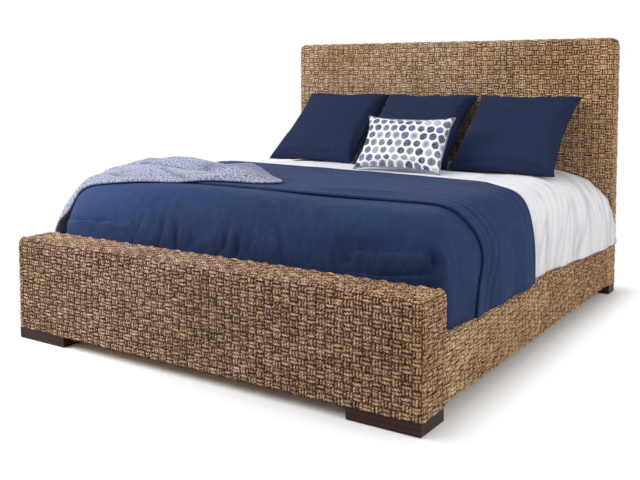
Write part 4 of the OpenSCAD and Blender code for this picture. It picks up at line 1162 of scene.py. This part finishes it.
# A sewn pillow, crowned on both faces and drawn in between its corners, that cloth simulation
# then fills and creases, lying flat with its middle at the origin
def blownPouch(name, width, height, thick, cells, seed):
    noise.seed_set(seed)
    bm = bmesh.new()
    reach = [bm.verts.layers.float.new(n) for n in ("across", "down", "seam")]
    bmesh.ops.create_grid(bm, x_segments=cells, y_segments=round(cells * height / width),
                          size=1)
    for v in bm.verts:
        u, w = (math.sin(math.pi / 2 * c) * 0.5 + c * 0.5 for c in (v.co.x, v.co.y))
        v[reach[0]], v[reach[1]] = u * width / 2, w * height / 2
        v[reach[2]] = max(abs(u), abs(w))
        lens = max((1 - u * u) * (1 - w * w), 0)
        drawn = sewn["drawn"][u > 0]  # one side is drawn in more than the other
        v.co = (u * width / 2 * (1 - drawn * (1 - w * w)),
                w * height / 2 * (1 - sewn["drawnEnds"] * (1 - u * u)),
                thick / 2 * 0.93 * (0.03 + 0.97 * lens ** sewn["crown"]))
    for v in secondSheet(bm):
        v.co.z = -v.co.z
    for v in bm.verts:
        shake = noise.noise_vector(v.co * 14 + Vector((seed, 0, 0))) * sewn["puckers"] \
            + noise.noise_vector(v.co * 40 + Vector((0, seed, 0))) * sewn["creases"]
        v.co += shake * min(1, 12 * (1 - v[reach[2]]))
    bmesh.ops.recalc_face_normals(bm, faces=bm.faces)
    for parts in (bm.verts, bm.edges, bm.faces):  # the cloth then moves the same each run
        parts.sort(key=rankOf)
    pouch = bpy.data.objects.new(name, meshFrom(bm, name))
    bpy.context.collection.objects.link(pouch)
    before = places(pouch.data)
    cloth = pouch.modifiers.new("air", "CLOTH")
    for key, value in air.items():
        setattr(cloth.settings, key, value)
    cloth.settings.effector_weights.gravity = 0
    cloth.collision_settings.use_collision = False
    for step in range(1, 15):
        bpy.context.scene.frame_set(step)
    blown = bpy.data.meshes.new_from_object(pouch.evaluated_get(
        bpy.context.evaluated_depsgraph_get()))
    bpy.data.objects.remove(pouch)
    bpy.context.scene.frame_set(1)
    moved = places(blown) - before
    far = np.linalg.norm(moved, axis=1, keepdims=True)
    points = before + moved * np.minimum(1, sewn["mostBlown"] / np.maximum(far, 1e-6))
    points -= (points.max(0) + points.min(0)) / 2
    points *= np.array([width, height, thick]) / (points.max(0) - points.min(0))
    setPlaces(blown, points)
    return blown


# Stands a pouch on its lower edge, leaning back, in its solid's own box
def standPouch(pouch, node, lean, turn, flip):
    mesh = pouch.copy()
    points = places(mesh) * np.array([flip[0], flip[1], flip[0] * flip[1]])
    slope, swing = math.radians(lean), math.radians(turn)
    forward = np.array([0, -math.cos(slope), math.sin(slope)])
    upward = np.array([0, math.sin(slope), math.cos(slope)])
    points = points[:, :1] * np.array([1, 0, 0]) + points[:, 1:2] * upward \
        + points[:, 2:] * forward
    points = points @ np.array([[math.cos(swing), math.sin(swing), 0],
                                [-math.sin(swing), math.cos(swing), 0], [0, 0, 1]])
    low, high = (np.array(c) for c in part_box(node))
    points += (low + high) / 2 - (points.max(0) + points.min(0)) / 2
    setPlaces(mesh, points)
    bm = bmesh.new()
    bm.from_mesh(mesh)
    bmesh.ops.recalc_face_normals(bm, faces=bm.faces)
    bm.to_mesh(mesh)
    bm.free()
    return mesh


# A round edge along the seam between a pouch's two sheets
def seamRim(mesh, name, radius):
    bm = bmesh.new()
    bm.from_mesh(mesh)
    seam = bm.verts.layers.float["seam"]
    rim = [e for e in bm.edges if all(v[seam] > 0.999 for v in e.verts)
           and all(all(v[seam] > 0.999 for v in f.verts) for f in e.link_faces)]
    line, edge, last = [], rim[0], None
    while not line or edge != rim[0]:  # across the narrow band of faces, rung by rung
        line.append((edge.verts[0].co + edge.verts[1].co) / 2)
        last = next(f for f in edge.link_faces if f != last)
        edge = next(e for e in last.edges if not set(e.verts) & set(edge.verts))
    bm.free()
    path = bpy.data.curves.new(name, "CURVE")
    path.dimensions, path.bevel_depth, path.bevel_resolution = "3D", radius, 2
    spline = path.splines.new("POLY")
    spline.points.add(len(line) - 1)
    for point, place in zip(spline.points, line):
        point.co = (*place, 1)
    spline.use_cyclic_u = True
    holder = bpy.data.objects.new(name, path)
    bpy.context.collection.objects.link(holder)
    tube = bpy.data.meshes.new_from_object(holder.evaluated_get(
        bpy.context.evaluated_depsgraph_get()))
    bpy.data.objects.remove(holder)
    tube.name = name
    step = len(tube.vertices) // len(line)
    setAttribute(tube, "across", np.repeat(np.arange(len(line)) * 0.01, step))
    setAttribute(tube, "down", np.tile(np.arange(step) * 0.002, len(line)))
    return tube


def setPillow(pouch, node, title, rimTitle, rimRadius, cloth, rimCloth):
    mesh = standPouch(pouch, node, **settled[node])
    rim = seamRim(mesh, rimTitle, rimRadius)
    addPiece(rimTitle, rim, node, rimCloth)
    piece = addPiece(title, mesh, node, cloth, [node])
    finer = piece.modifiers.new("finer", "SUBSURF")
    finer.levels = finer.render_levels = 1


def makePillows():
    bigPouch = blownPouch("bigPouch", **pillows)
    for node in ("pillow_left", "pillow_centre", "pillow_right"):
        setPillow(bigPouch, node, "linen_" + node, "seam_" + node, 0.0028,
                  navyPillow, navyPillow)
    smallPouch = blownPouch("smallPouch", **cushion)
    setPillow(smallPouch, "dotted_cushion", "cotton_cushion", "cushionPiping", 0.0048,
              dottedCotton, pipingCloth)


makePillows()
print("pillows blown up and set")


def makeFloor():
    bm = bmesh.new()
    bmesh.ops.create_grid(bm, x_segments=8, y_segments=8, size=40)
    floor = bpy.data.objects.new("paleFloor", meshFrom(bm, "paleFloor"))
    bpy.context.collection.objects.link(floor)
    pale = Finish("paleFloor")
    seen = pale.node("ShaderNodeLightPath", {}, {}, "Is Camera Ray")
    direct = seen.above(seen.other("Is Glossy Ray"))
    shade, light = ((studio[key],) * 3 + (1,) for key in ("floorShade", "floorSeen"))
    matt = pale.node("ShaderNodeBsdfDiffuse", {}, {"Color": pale.mix(direct, shade, light)})
    white = pale.node("ShaderNodeEmission", {}, {"Strength": 1.0})
    x, y = pale.parts(pale.place)[:2]
    # the shadow fades out over a little way round the bed
    x = (x.size() - boardHalf).above(0)
    y = (y.size() - boards["headboard"]["y1"]).above(0)
    far = ((x * x + y * y) ** 0.5).between(studio["fadeFrom"], studio["fadeTo"])
    pale.show(pale.node("ShaderNodeMixShader", {}, {0: far * direct, 1: matt, 2: white}),
              "Material Output")
    floor.data.materials.append(pale.material)


makeFloor()
